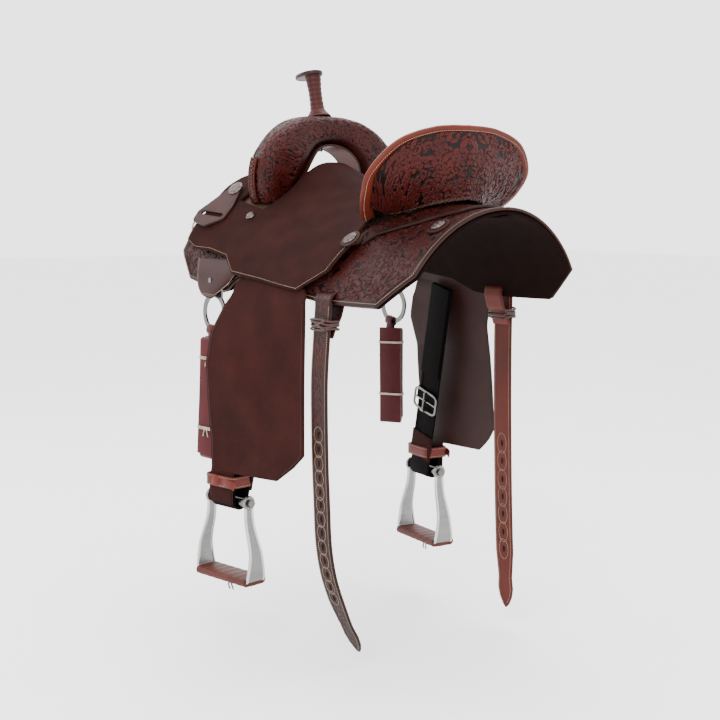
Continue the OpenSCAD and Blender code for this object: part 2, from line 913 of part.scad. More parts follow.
// One post: a band that widens from the bolt to the tread
module stirrup_post() {
    loft([for (k = [0:16])
        let (f = k / 16, p = curve(post_line, 6 * f), d = 10 + (tread_d / 2 - 10) * f * f)
        [for (q = [[-d, -3], [d, -3], [d, 3], [-d, 3]]) [q.x, p.x + q.y, p.y]]]);
    translate([0, post_line[0].x, 0])
        rotate([90, 0, 0])
            cylinder(h = 6, r = 13, center = true);
}

module stirrup() {
    color([0.66, 0.65, 0.64])
        at_bolt()
            difference() {
                union() {
                    stirrup_post();
                    mirror([0, 1, 0])
                        stirrup_post();
                    translate([0, 0, -stirrup_h - 3])
                        cube([tread_d, tread_w + 10, 8], center = true);
                }
                rotate([90, 0, 0])
                    cylinder(h = 140, d = bolt_d + 0.4, center = true);
            }
}

module stirrup_bolt() {
    color(steel)
        at_bolt()
            rotate([90, 0, 0])
                union() {
                    cylinder(h = 112, d = bolt_d, center = true);
                    for (side = [-1, 1])
                        translate([0, 0, side * 57.6])
                            cylinder(h = 5, d = 16, center = true, $fn = 6);
                    cylinder(h = 90, d = 17, center = true);
                }
}

// Leather laced round the tread
module tread_wrap() {
    color(chestnut)
        at_bolt()
            translate([0, 0, -stirrup_h - 3])
                difference() {
                    union() {
                        cube([tread_d + 9, tread_w - 1, 15], center = true);
                        translate([0, 0, -10])
                            sphere(d = 9);
                        translate([0, 4, -20])
                            cube([4, 3, 16], center = true);
                    }
                    cube([tread_d + 0.8, tread_w + 20, 8.8], center = true);
                }
}

// ---- Rear billets ---------------------------------------------------------------------

billet_y = 150;
slot_z = -141;
fold_pos = [192.5, billet_y, -155.5];
fold_r = 13.6;

// Paths of the billets from the fold outward and down to the tip
near_path = [[13.6, 0], [14, -12], [17, -54], [21.5, -124], [21.5, -194], [19.5, -274],
    [16.5, -334], [12.5, -405], [3, -459], [-12, -504], [-31, -546], [-50, -582], [-66, -612]];
far_path = [[13.6, 0], [13.8, -12], [14, -104], [16, -204], [19.5, -304], [24, -404],
    [30, -504], [36, -600]];

// Outline of a billet seen flat, cut to a spear tip
module billet_outline(tip) {
    w = billet_w / 2;
    rotate([90, 0, 90])
        linear_extrude(260, center = true)
            polygon([[-w, 60], [-w, tip + 110], [-w + 5, tip + 60], [-w + 3, tip + 38],
                [0, tip], [w - 3, tip + 38], [w - 5, tip + 60], [w, tip + 110], [w, 60]]);
}

module rear_billet(line) {
    last = len(line) - 1;
    color(chestnut)
        translate(fold_pos)
            intersection() {
                union() {
                    strap([for (k = [0:33]) curve(line, last * k / 33)], billet_w, billet_t);
                    rotate([90, 0, 0])
                        difference() {
                            cylinder(h = billet_w, r = fold_r + 2, center = true);
                            cylinder(h = billet_w + 2, r = fold_r - 2, center = true);
                        }
                    strap([[-fold_r + 0.2, 1], [-fold_r + 0.4, -6], [-7, -26], [5, -46],
                        [10.5, -60]], billet_w, 4);
                }
                billet_outline(line[last].y);
            }
}

module billet_lace() {
    color(mahogany)
        translate(fold_pos + [10, 0, -38])
            difference() {
                cube([32, billet_w + 6, 20], center = true);
                cube([29, billet_w + 1, 30], center = true);
            }
}

// ---- Assembly -------------------------------------------------------------------------

module right() {
    mirror([1, 0, 0])
        children();
}

// The off side's rigging sits a little lower
module off_side() {
    right()
        translate(off_side_shift)
            children();
}

tree_bar();  // tree_bar_left
right() tree_bar();  // tree_bar_right
tree_fork();
tree_cantle();
horn_core();
horn_wrap();
horn_cap();
swell_cover();
swell_lacing();
gullet_lining();
ground_seat();
seat_leather();
cantle_facing();
cantle_binding();
cantle_back();
rear_jockey();
skirt();  // skirt_left
right() skirt();  // skirt_right
skirt_lining();  // skirt_lining_left
right() skirt_lining();  // skirt_lining_right
rear_patch();
rigging_plate();  // rigging_plate_left
off_side() rigging_plate();  // rigging_plate_right
rigging_cover();  // rigging_cover_left
off_side() rigging_cover();  // rigging_cover_right
rigging_rivets();
rosettes();
conchos();
latigo();  // latigo_left
strap_ties([52, 184]);  // latigo_ties
off_side() off_billet();  // off_billet_right
off_side() strap_ties([44, 150]);  // off_billet_ties
latigo_keeper();  // latigo_keeper_left
right() latigo_keeper();  // latigo_keeper_right
breast_ring();  // breast_ring_left
right() breast_ring();  // breast_ring_right
ring_tabs();
fender();  // fender_left
right() fender();  // fender_right
stirrup_leather();  // stirrup_leather_left
right() stirrup_leather();  // stirrup_leather_right
leather_buckle();  // leather_buckle_left
right() leather_buckle();  // leather_buckle_right
buckle_tongue();  // buckle_tongue_left
right() buckle_tongue();  // buckle_tongue_right
hobble_strap();  // hobble_strap_left
right() hobble_strap();  // hobble_strap_right
stirrup();  // stirrup_left
right() stirrup();  // stirrup_right
stirrup_bolt();  // stirrup_bolt_left
right() stirrup_bolt();  // stirrup_bolt_right
tread_wrap();  // tread_wrap_left
right() tread_wrap();  // tread_wrap_right
rear_billet(near_path);  // rear_billet_left
right() rear_billet(far_path);  // rear_billet_right
billet_lace();  // billet_lace_left
right() billet_lace();  // billet_lace_right
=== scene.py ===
import math

import bpy
import numpy as np
from mathutils import Matrix, Vector


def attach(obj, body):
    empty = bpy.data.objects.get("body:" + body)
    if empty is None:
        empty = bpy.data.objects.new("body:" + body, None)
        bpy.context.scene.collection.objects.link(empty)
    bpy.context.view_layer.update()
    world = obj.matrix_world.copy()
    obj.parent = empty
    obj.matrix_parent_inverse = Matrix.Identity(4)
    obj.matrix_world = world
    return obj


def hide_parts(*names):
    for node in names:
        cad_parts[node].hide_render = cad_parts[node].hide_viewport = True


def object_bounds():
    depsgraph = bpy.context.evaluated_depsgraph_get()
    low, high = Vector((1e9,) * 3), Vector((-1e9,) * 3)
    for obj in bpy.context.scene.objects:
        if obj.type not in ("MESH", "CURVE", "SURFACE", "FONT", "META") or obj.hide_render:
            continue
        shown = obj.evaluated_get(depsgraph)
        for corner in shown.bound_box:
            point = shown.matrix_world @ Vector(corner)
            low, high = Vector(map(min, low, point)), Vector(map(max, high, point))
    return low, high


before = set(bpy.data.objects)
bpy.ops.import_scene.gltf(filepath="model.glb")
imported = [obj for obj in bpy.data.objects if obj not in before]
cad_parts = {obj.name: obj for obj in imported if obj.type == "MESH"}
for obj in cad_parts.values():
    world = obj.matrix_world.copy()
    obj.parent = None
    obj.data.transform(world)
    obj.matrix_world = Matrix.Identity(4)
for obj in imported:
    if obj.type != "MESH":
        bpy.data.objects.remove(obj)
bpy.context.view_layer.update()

MM = 0.001


def rad(a):
    return np.radians(a)


def unit(v):
    v = np.asarray(v, float)
    return v / np.maximum(np.linalg.norm(v, axis=-1, keepdims=True), 1e-9)


def smooth(x, lo, hi):
    s = np.clip((x - lo) / (hi - lo), 0, 1)
    return s * s * (3 - 2 * s)


# ---- Camera ---------------------------------------------------------------------------

AZ, EL, ROLL = rad(141.71), rad(6.94), rad(0.33)
back = np.array([math.sin(AZ) * math.cos(EL), -math.cos(AZ) * math.cos(EL), math.sin(EL)])
right = np.array([math.cos(AZ), math.sin(AZ), 0.0])
up = np.cross(back, right)
c, s = math.cos(ROLL), math.sin(ROLL)
cam_right, cam_up = c * right + s * up, -s * right + c * up
aim = np.array([0.01049, 0, -0.28126])
cam_data = bpy.data.cameras.new("camera")
cam_data.lens = 65.4
cam_data.sensor_width = 36
camera = bpy.data.objects.new("camera", cam_data)
bpy.context.scene.collection.objects.link(camera)
rot = Matrix([[cam_right[i], cam_up[i], back[i]] for i in range(3)])
camera.matrix_world = Matrix.Translation(Vector(aim + back * 2.3972)) @ rot.to_4x4()
bpy.context.scene.camera = camera

# ---- Surfaces of the saddle, in millimetres -------------------------------------------

ARCH_W, ARCH_H, HANG = 222.0, 258.0, 69.0


def ridge(y):
    y = np.asarray(y, float)
    fore = -8.5 + 84.5 * np.clip((150 - y) / 470, 0, None) ** 1.55
    aft = -8.5 + 8.5 * np.clip((y - 150) / 215, 0, None) ** 1.5
    return np.where(y < 150, fore, aft)


def on_side(a, y, lift=0.0):
    a, y, lift = np.broadcast_arrays(np.asarray(a, float), np.asarray(y, float), lift)
    m, past = rad(np.minimum(a, HANG)), rad(np.maximum(0, a - HANG))
    x = ARCH_W * (np.sin(m) + 0.4 * past * math.cos(rad(HANG)))
    z = -ARCH_H * (1 - np.cos(m) + past * math.sin(rad(HANG)))
    nx, nz = ARCH_H * np.sin(m), ARCH_W * np.cos(m)
    n = np.hypot(nx, nz)
    return np.stack([x + lift * nx / n, y, ridge(y) + z + lift * nz / n], -1)


def curve(points, t):
    """Catmull-Rom curve through points; t runs from 0 to len - 1."""
    p = np.asarray(points, float)
    n = len(p) - 1
    t = np.asarray(t, float)
    i = np.minimum(np.floor(t).astype(int), n - 1)
    f = (t - i)[..., None]
    a, b, c, d = p[np.maximum(i - 1, 0)], p[i], p[i + 1], p[np.minimum(i + 2, n)]
    return 0.5 * (2 * b + (c - a) * f + (2 * a - 5 * b + 4 * c - d) * f * f
                  + (3 * b - a - 3 * c + d) * f ** 3)


def patch(rows, U, V):
    """Surface through rows of control points."""
    rows = np.asarray(rows, float)
    nr, nc = rows.shape[:2]
    u, v = U[0], V[:, 0]
    across = np.stack([curve(r, u * (nc - 1)) for r in rows])
    return np.stack([curve(across[:, j], v * (nr - 1)) for j in range(len(u))], 1)


def lerp_line(line, a):
    line = np.asarray(line, float)
    return np.interp(a, line[:, 0], line[:, 1])


# ---- Mesh builder ---------------------------------------------------------------------

class Geo:
    def __init__(self):
        self.v, self.f, self.m, self.t, self.n = [], [], [], [], 0

    def add(self, verts, faces, mat=0, tone=0.5):
        verts = np.asarray(verts, float).reshape(-1, 3)
        self.v.append(verts)
        self.f += [tuple(int(i) + self.n for i in f) for f in faces]
        self.m += [mat] * len(faces)
        self.t.append(np.broadcast_to(np.asarray(tone, float).ravel(), (len(verts),)) if
                      np.ndim(tone) == 0 or np.size(tone) == 1 else np.ravel(tone))
        self.n += len(verts)
        return self

    def join(self, other, mat=0):
        v = np.concatenate(other.v)
        self.f += [tuple(i + self.n for i in f) for f in other.f]
        self.m += [k + mat for k in other.m]
        self.v.append(v)
        self.t += other.t
        self.n += len(v)
        return self

    def verts(self):
        return np.concatenate(self.v)

    def moved(self, fn):
        g = Geo()
        v = fn(self.verts())
        g.v, g.f, g.m, g.t, g.n = [v], list(self.f), list(self.m), list(self.t), self.n
        return g

    def mirrored(self):
        g = self.moved(lambda v: v * [-1, 1, 1])
        g.f = [f[::-1] for f in g.f]
        return g


def quads(rows, cols, closed=False, flip=False):
    i, j = np.meshgrid(np.arange(rows - 1), np.arange(cols if closed else cols - 1),
                       indexing="ij")
    a = (i * cols + j).ravel()
    b = (i * cols + (j + 1) % cols).ravel()
    q = np.stack([a, b, b + cols, a + cols], 1)
    return (q[:, ::-1] if flip else q).tolist()


def sheet(P, t, r=1.4, sides=(1, 1, 1, 1), centre=(0, 0, -150), relief=None, edge_mat=1,
          low_mat=1, tone=0.5):
    """Leather with its upper face on grid P. sides: which of first row, last row, first
    column and last column are real edges, and rounded. relief(su, sv, edge) gives the
    height and tone."""
    du, dv = np.gradient(P, axis=1), np.gradient(P, axis=0)
    N = unit(np.cross(du, dv))
    flip = np.sum(N * (P - np.asarray(centre, float))) < 0
    if flip:
        N = -N
    seg_u = np.linalg.norm(np.diff(P, axis=1), axis=-1)
    seg_v = np.linalg.norm(np.diff(P, axis=0), axis=-1)
    su = np.concatenate([np.zeros((P.shape[0], 1)), np.cumsum(seg_u, 1)], 1)
    sv = np.concatenate([np.zeros((1, P.shape[1])), np.cumsum(seg_v, 0)], 0)
    far = np.full(P.shape[:2], 1e3)
    edge = far.copy()
    for on, d in zip(sides, (sv, sv[-1:] - sv, su, su[:, -1:] - su)):
        if on:
            edge = np.minimum(edge, d)
    h, tones = (0.0, tone) if relief is None else relief(su, sv, edge)
    k = np.clip(edge / r, 0, 1)
    drop = r * (1 - np.sqrt(1 - (1 - k) ** 2))
    h = h * np.clip(edge / 3, 0, 1)
    top = P + N * (h - drop)[..., None]
    low = P - N * (t - 0.5 * drop)[..., None]
    g = Geo()
    rows, cols = P.shape[:2]
    g.add(top.reshape(-1, 3), quads(rows, cols, flip=flip), 0,
          np.broadcast_to(tones, edge.shape))
    g.add(low.reshape(-1, 3), quads(rows, cols, flip=not flip), low_mat, 0.5)
    ring = ([(0, j) for j in range(cols)] + [(i, cols - 1) for i in range(1, rows)]
            + [(rows - 1, j) for j in range(cols - 2, -1, -1)]
            + [(i, 0) for i in range(rows - 2, 0, -1)])
    idx = np.array([i * cols + j for i, j in ring])
    n = len(idx)
    wall = [(idx[k], idx[k] + rows * cols, idx[(k + 1) % n] + rows * cols, idx[(k + 1) % n])
            for k in range(n)]
    if flip:
        wall = [w[::-1] for w in wall]
    g.f += [tuple(int(i) for i in w) for w in wall]
    g.m += [edge_mat] * n
    return g


def frames(path, ref):
    """Tangent, side and normal along a path; the side is square to ref."""
    path = np.asarray(path, float)
    T = unit(np.gradient(path, axis=0))
    ref = np.broadcast_to(np.asarray(ref, float), path.shape)
    S = unit(np.cross(ref, T))
    return T, S, unit(np.cross(T, S))


def sweep(path, profile, ref=(0, 0, 1), closed=False, mat=0, tone=0.5, scale=None, caps=True):
    """Profile points (side, normal) carried along a path."""
    path, profile = np.asarray(path, float), np.asarray(profile, float)
    if closed:
        ext = np.concatenate([path[-1:], path, path[:1]])
        T, S, N = (a[1:-1] for a in frames(ext, ref if np.ndim(ref) == 1 else
                                           np.concatenate([ref[-1:], ref, ref[:1]])))
    else:
        T, S, N = frames(path, ref)
    k = np.ones((len(path), 2)) if scale is None else np.broadcast_to(
        np.asarray(scale, float).reshape(len(path), -1), (len(path), 2))
    pts = (path[:, None] + S[:, None] * (profile[None, :, :1] * k[:, None, :1])
           + N[:, None] * (profile[None, :, 1:] * k[:, None, 1:]))
    m = len(profile)
    g = Geo()
    f = quads(len(path), m, closed=True)
    if closed:
        last = (len(path) - 1) * m
        f += [[last + j, last + (j + 1) % m, (j + 1) % m, j] for j in range(m)]
    elif caps:
        f += [list(range(m))[::-1], [(len(path) - 1) * m + j for j in range(m)]]
    g.add(pts.reshape(-1, 3), [q[::-1] for q in f], mat, tone)
    return g


def circle(r, n=10):
    a = np.arange(n) * 2 * np.pi / n
    return np.stack([r * np.cos(a), r * np.sin(a)], 1)


def slab(w, t, r=1.0):
    """Rounded rectangle profile, w wide and t thick."""
    out = []
    for cx, cy, a0 in ((1, 1, 0), (-1, 1, 90), (-1, -1, 180), (1, -1, 270)):
        for a in (0, 45, 90):
            q = rad(a0 + a)
            out.append((cx * (w / 2 - r) + r * math.cos(q), cy * (t / 2 - r) + r * math.sin(q)))
    return np.array(out)


def oval(rx, ry, power, n):
    """Rounded outline: an ellipse at power 1, and closer to a rectangle as it falls."""
    a = np.linspace(0, 2 * np.pi, n, endpoint=False)
    cs, sn = np.cos(a), np.sin(a)
    return (rx * np.sign(cs) * np.abs(cs) ** power, ry * np.sign(sn) * np.abs(sn) ** power, a)


def resample(path, step):
    path = np.asarray(path, float)
    d = np.concatenate([[0], np.cumsum(np.linalg.norm(np.diff(path, axis=0), axis=1))])
    n = max(2, int(d[-1] / step))
    q = np.linspace(0, d[-1], n)
    return np.stack([np.interp(q, d, path[:, k]) for k in range(3)], 1)


def stitches(path, normal, pitch=3.6, length=2.5, r=0.5, rise=0.25):
    """Thread stitches that lie along a path on a surface."""
    p = resample(path, pitch)
    T = unit(np.gradient(p, axis=0))
    N = unit(np.broadcast_to(normal, p.shape) if np.ndim(normal) == 1 else
             np.stack([np.interp(np.linspace(0, 1, len(p)), np.linspace(0, 1, len(normal)),
                                 np.asarray(normal)[:, k]) for k in range(3)], 1))
    S = unit(np.cross(N, T))
    p = p + N * rise
    ring = []
    for along, rr in ((-0.5, 0.25), (-0.3, 1), (0.3, 1), (0.5, 0.25)):
        for a in range(5):
            q = 2 * math.pi * a / 5
            ring.append(p + T * (along * length) + S * (rr * r * math.cos(q))
                        + N * (rr * r * math.sin(q)))
    pts = np.stack(ring, 1)
    g = Geo()
    faces = [[k * 20 + i * 5 + j, k * 20 + i * 5 + (j + 1) % 5, k * 20 + (i + 1) * 5
              + (j + 1) % 5, k * 20 + (i + 1) * 5 + j]
             for k in range(len(p)) for i in range(3) for j in range(5)]
    faces += [[k * 20 + j for j in range(4, -1, -1)] for k in range(len(p))]
    faces += [[k * 20 + 15 + j for j in range(5)] for k in range(len(p))]
    g.add(pts.reshape(-1, 3), faces, 0, 0.5)
    return g


def piece(name, g, mats, body, nodes=(), sharp=42):
    mesh = bpy.data.meshes.new(name)
    mesh.from_pydata((g.verts() * MM).tolist(), [], g.f)
    for m in mats:
        mesh.materials.append(m)
    mesh.polygons.foreach_set("material_index",
                              np.minimum(np.array(g.m), len(mats) - 1).astype(np.int32))
    tone = mesh.attributes.new("tone", "FLOAT", "POINT")
    tone.data.foreach_set("value", np.concatenate([np.ravel(t) for t in g.t]).astype(np.float32))
    mesh.shade_smooth()
    mesh.set_sharp_from_angle(angle=math.radians(sharp))
    mesh.update()
    obj = bpy.data.objects.new(name, mesh)
    bpy.context.scene.collection.objects.link(obj)
    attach(obj, body)
    if nodes:
        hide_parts(*nodes)
    return obj


def pair(name, g, mats, body, node=None, far=None, sharp=42):
    """A piece on the left and its mirror on the right; far moves the right one's points."""
    two = "{}" in body
    piece(name + "_left", g, mats, body.format("left") if two else body,
          (node.format("left"),) if node else (), sharp)
    h = g.mirrored()
    piece(name + "_right", h.moved(far) if far else h, mats,
          body.format("right") if two else body, (node.format("right"),) if node else (),
          sharp)


# ---- Carving --------------------------------------------------------------------------

def carve(u, v, seed, pitch=43.0, size=17.0, leaf=11.0):
    """Carved flowers, scrolls and leaves at points in millimetres: height and tone, 0-1."""
    shape = u.shape
    u, v = u.ravel(), v.ravel()
    h = 0.10 + 0.06 * np.sin(u * 3.1) * np.sin(v * 2.7)
    tone = np.full(u.shape, 0.03)
    rng = np.random.default_rng(seed)

    def near(cu, cv, rr):
        return np.nonzero((np.abs(u - cu) < rr) & (np.abs(v - cv) < rr))[0]

    def put(k, inside, hh, outline):
        kk = k[inside]
        h[kk] = np.where(outline[inside], 0.0, hh[inside])
        tone[kk] = np.where(outline[inside], 0.0, 0.25 + 0.75 * hh[inside])

    def stamp_leaf(cu, cv, ang, length, width, bend):
        k = near(cu + math.cos(ang) * length / 2, cv + math.sin(ang) * length / 2, length)
        if not len(k):
            return
        du, dv = u[k] - cu, v[k] - cv
        x = du * math.cos(ang) + dv * math.sin(ang)
        y = -du * math.sin(ang) + dv * math.cos(ang) - bend * x * x / length
        q = np.clip(x / length, 0.001, 0.999)
        w = width * np.sin(np.pi * q ** 0.8) ** 0.7 * (1 + 0.17 * np.cos(q * 25))
        inside = (x > 0) & (x < length) & (np.abs(y) < w)
        e = np.abs(y) / np.maximum(w, 0.01)
        hh = 0.45 + 0.5 * np.sqrt(np.clip(1 - e * e, 0, 1))
        hh = hh - 0.42 * np.exp(-(y / 0.8) ** 2) - 0.12 * np.cos((x - np.abs(y)) * 2.2)
        put(k, inside, np.clip(hh, 0, 1), w - np.abs(y) < 0.75)

    def stamp_scroll(cu, cv, rr, a0, turn):
        k = near(cu, cv, rr + 5)
        if not len(k):
            return
        du, dv = u[k] - cu, v[k] - cv
        rho = np.hypot(du, dv)
        th = ((np.arctan2(dv, du) - a0) * turn) % (2 * np.pi) / (2 * np.pi)
        line = rr * (1 - 0.62 * th)
        w = 3.4 * (1 - 0.55 * th)
        off = np.abs(rho - line)
        inside = (off < w)
        hh = 0.5 + 0.5 * np.sqrt(np.clip(1 - (off / w) ** 2, 0, 1))
        hh = hh - 0.25 * (0.5 + 0.5 * np.cos(th * 60))
        put(k, inside, np.clip(hh, 0, 1), w - off < 0.7)
        core = rho < rr * 0.3
        put(k, core, 0.6 + 0.4 * np.sqrt(np.clip(1 - (rho / (rr * 0.3)) ** 2, 0, 1)),
            np.abs(rho - rr * 0.28) < 0.6)

    def stamp_flower(cu, cv, rr, phase, petals):
        k = near(cu, cv, rr + 2)
        if not len(k):
            return
        du, dv = u[k] - cu, v[k] - cv
        rho, th = np.hypot(du, dv), np.arctan2(dv, du) + phase
        f = (th * petals / (2 * np.pi)) % 1 - 0.5
        rim = rr * (0.84 + 0.16 * np.cos(2 * np.pi * f)) - 0.10 * rr * np.exp(-(f / 0.07) ** 2)
        hh = 0.35 + 0.6 * (rho / rim) ** 2 - 0.7 * np.exp(-((np.abs(f) - 0.5) / 0.07) ** 2)
        hh = hh - 0.13 * np.cos(f * 44) * (rho / rim)
        put(k, rho < rim, np.clip(hh, 0, 1), rim - rho < 0.8)
        f2 = (th * petals / (2 * np.pi) + 0.5) % 1 - 0.5
        rim2 = rr * 0.56 * (0.86 + 0.14 * np.cos(2 * np.pi * f2))
        h2 = 0.4 + 0.6 * (rho / rim2) ** 1.5 - 0.7 * np.exp(-((np.abs(f2) - 0.5) / 0.09) ** 2)
        put(k, rho < rim2, np.clip(h2, 0, 1), rim2 - rho < 0.7)
        rc = rr * 0.27
        dots = 0.80 + 0.20 * np.sin(du * 3.2) * np.sin(dv * 3.2)
        put(k, rho < rc, dots * (0.55 + 0.45 * np.sqrt(np.clip(1 - (rho / rc) ** 2, 0, 1))),
            rc - rho < 0.6)

    u0, u1, v0, v1 = u.min(), u.max(), v.min(), v.max()
    for cu in np.arange(u0 - 6, u1 + 6, leaf * 0.8):
        for cv in np.arange(v0 - 6, v1 + 6, leaf * 0.72):
            ang = 2.2 * math.sin(cu * 0.047 + 1.7 * seed) + 2.6 * math.cos(cv * 0.051)
            stamp_leaf(cu + rng.uniform(-2, 2), cv + rng.uniform(-2, 2),
                       ang + rng.uniform(-0.7, 0.7), leaf * rng.uniform(1.0, 1.5),
                       leaf * rng.uniform(0.24, 0.34), rng.uniform(-0.5, 0.5))
    flowers = []
    row = 0
    for cu in np.arange(u0 + pitch * 0.4, u1 + pitch * 0.2, pitch * 0.87):
        for cv in np.arange(v0 + pitch * (0.4 if row % 2 else 0.9), v1 + pitch * 0.2, pitch):
            flowers.append((cu + rng.uniform(-4, 4), cv + rng.uniform(-4, 4),
                            size * rng.uniform(0.85, 1.12), rng.uniform(0, 6.3),
                            int(rng.integers(5, 8))))
        row += 1
    for cu, cv, rr, ph, n in flowers:
        for k in range(5):
            a = ph + k * 2 * math.pi / 5 + rng.uniform(-0.25, 0.25)
            if k % 2:
                rs = rng.uniform(6.5, 9)
                stamp_scroll(cu + (rr + rs) * math.cos(a), cv + (rr + rs) * math.sin(a), rs,
                             rng.uniform(0, 6.3), 1 if rng.random() < 0.5 else -1)
            else:
                stamp_leaf(cu + rr * 0.8 * math.cos(a), cv + rr * 0.8 * math.sin(a),
                           a + rng.uniform(-0.3, 0.3), rr * rng.uniform(1.2, 1.5), rr * 0.34,
                           rng.uniform(-0.7, 0.7))
    for cu, cv, rr, ph, n in flowers:
        stamp_flower(cu, cv, rr, ph, n)
    return h.reshape(shape), np.clip(tone, 0, 1).reshape(shape)


def tooled(seed, margin=9.0, depth=1.5, band=True, **kw):
    """Relief for a carved panel with a smooth margin and two border lines."""
    def relief(su, sv, edge):
        h, tone = carve(su, sv, seed, **kw)
        rim = margin + (3.4 if band else 0.8)
        k = smooth(edge, rim, rim + 1.0)
        line = np.exp(-((edge - margin) / 0.7) ** 2)
        line = line + (np.exp(-((edge - rim) / 0.7) ** 2) if band else 0)
        hh = k * (h - 0.75) + (1 - k) * 0.0 - 0.7 * line
        flat = 0.50 - 0.30 * np.exp(-edge / 2.0)
        return depth * hh, np.clip(k * tone + (1 - k) * flat - 0.45 * line, 0, 1)
    return relief


def plain(amount=0.25, wave=31.0, burn=3.0, tone=0.5, seed=0.0):
    """Relief for smooth leather: slow unevenness and a darker rubbed edge."""
    def relief(su, sv, edge):
        h = np.sin(su / wave + seed) * np.cos(sv / (wave * 1.3) + 2 * seed)
        h = h + 0.5 * np.sin(su / (wave * 0.37) + sv / (wave * 0.61) + seed)
        return amount * h, np.clip(tone + 0.1 * h - 0.3 * np.exp(-edge / burn), 0, 1)
    return relief


# ---- Materials ------------------------------------------------------------------------

def node_tree(name):
    m = bpy.data.materials.new(name)
    m.use_nodes = True
    t = m.node_tree
    t.nodes.clear()
    out = t.nodes.new("ShaderNodeOutputMaterial")
    b = t.nodes.new("ShaderNodeBsdfPrincipled")
    t.links.new(b.outputs[0], out.inputs[0])
    return m, t, b


def finish_mat(name, dark, light, rough=0.5, var=0.25, blotch=22.0, grain=900.0, bump=0.25,
               metal=0.0, coat=0.0, sheen=0.0, depth=0.0003, stretch=(1, 1, 1), spec=0.13):
    """Procedural finish: the tone attribute picks between dark and light."""
    m, t, b = node_tree(name)
    new, link = t.nodes.new, t.links.new
    co = new("ShaderNodeTexCoord")
    mp = new("ShaderNodeMapping")
    mp.inputs["Scale"].default_value = stretch
    link(co.outputs["Object"], mp.inputs[0])
    tone = new("ShaderNodeAttribute")
    tone.attribute_name = "tone"
    big, fine, cell = new("ShaderNodeTexNoise"), new("ShaderNodeTexNoise"), new("ShaderNodeTexVoronoi")
    for n, sc in ((big, blotch), (fine, grain), (cell, grain * 0.7)):
        link(mp.outputs[0], n.inputs["Vector"])
        n.inputs["Scale"].default_value = sc
    big.inputs["Detail"].default_value = 6
    fine.inputs["Detail"].default_value = 4
    mix = new("ShaderNodeMix")
    mix.data_type = "RGBA"
    link(tone.outputs["Fac"], mix.inputs[0])
    mix.inputs[6].default_value = (*dark, 1)
    mix.inputs[7].default_value = (*light, 1)
    rng = new("ShaderNodeMapRange")
    link(big.outputs[0], rng.inputs[0])
    for k, v in enumerate((0.3, 0.7, 1 - var, 1 + var)):
        rng.inputs[k + 1].default_value = v
    hsv = new("ShaderNodeHueSaturation")
    link(rng.outputs[0], hsv.inputs["Value"])
    link(mix.outputs[2], hsv.inputs["Color"])
    link(hsv.outputs[0], b.inputs["Base Color"])
    rr = new("ShaderNodeMapRange")
    link(fine.outputs[0], rr.inputs[0])
    for k, v in enumerate((0.3, 0.7, max(0.05, rough - 0.08), rough + 0.08)):
        rr.inputs[k + 1].default_value = v
    link(rr.outputs[0], b.inputs["Roughness"])
    add = new("ShaderNodeMath")
    add.operation = "ADD"
    link(fine.outputs[0], add.inputs[0])
    link(cell.outputs[0], add.inputs[1])
    bp = new("ShaderNodeBump")
    bp.inputs["Strength"].default_value = bump
    bp.inputs["Distance"].default_value = depth
    link(add.outputs[0], bp.inputs["Height"])
    link(bp.outputs[0], b.inputs["Normal"])
    b.inputs["Metallic"].default_value = metal
    b.inputs["Specular IOR Level"].default_value = 0.5 if metal else spec
    b.inputs["Coat Weight"].default_value = coat
    b.inputs["Coat Roughness"].default_value = 0.25
    b.inputs["Sheen Weight"].default_value = sheen
    return m


TOOLED = finish_mat("tooled", (0.001404, 0.0001294, 9.24e-05), (0.02652, 0.002864, 0.00194), 0.50, 0.2)
SWELL = finish_mat("tooled_swell", (0.001656, 0.0001258, 9.439e-05), (0.0345, 0.003146, 0.002124), 0.40, 0.2)
PANEL = finish_mat("tooled_cantle", (0.002488, 0.0002376, 0.0001782),
                   (0.04524, 0.004604, 0.003416), 0.40, 0.2)
SMOOTH = finish_mat("smooth", (0.018, 0.00175, 0.001), (0.084, 0.011, 0.006), 0.38, 0.2, 14)
ROLL = finish_mat("roll", (0.02601, 0.00341, 0.001918), (0.0859, 0.01279, 0.006607), 0.38, 0.16, 12)
COVER = finish_mat("cover", (0.006, 0.00044, 0.00024), (0.0216, 0.0017, 0.0008), 0.42, 0.2, 16)
HOBBLE = finish_mat("hobble", (0.036, 0.004464, 0.002976), (0.1044, 0.01686, 0.01141), 0.42, 0.2, 18)
ROUGH = finish_mat("roughout", (0.006349, 0.001109, 0.000792),
                   (0.02247, 0.004554, 0.003366), 0.95, 0.22, 26, 1500, 0.8,
                   depth=0.0006, spec=0.1)
FENDER = finish_mat("fender", (0.006734, 0.001089, 0.0007841),
                   (0.02694, 0.005009, 0.003703), 0.95, 0.22, 20, 1500,
                    0.8, depth=0.0006, spec=0.1)
FENDER_IN = finish_mat("fender_in", (0.00675, 0.00135, 0.001012), (0.027, 0.006412, 0.004725), 0.6, 0.22, 16)
DARK = finish_mat("dark", (0.0048, 0.00135, 0.00105), (0.0384, 0.01013, 0.007875), 0.42, 0.25, 24)
HORN = finish_mat("horn", (0.01125, 0.001386, 0.0009702), (0.04313, 0.006653, 0.00499), 0.45, 0.2, 30)
CAPMAT = finish_mat("cap", (0.0048, 0.00144, 0.00144), (0.0408, 0.01632, 0.01536), 0.34, 0.2, 30)
LINING = finish_mat("lining", (0.00224, 0.0005208, 0.000372),
                   (0.00672, 0.001674, 0.00119), 0.95, 0.3, 30, 1400, 0.6,
                    depth=0.0006, spec=0.05)
EDGE = finish_mat("cut_edge", (0.0072, 0.00154, 0.00099), (0.036, 0.00935, 0.0055), 0.5, 0.3, 60, 1200, 0.3)
PALE = finish_mat("pale_edge", (0.077, 0.0325, 0.019), (0.187, 0.09, 0.0575), 0.5, 0.3, 60, 1200, 0.3)
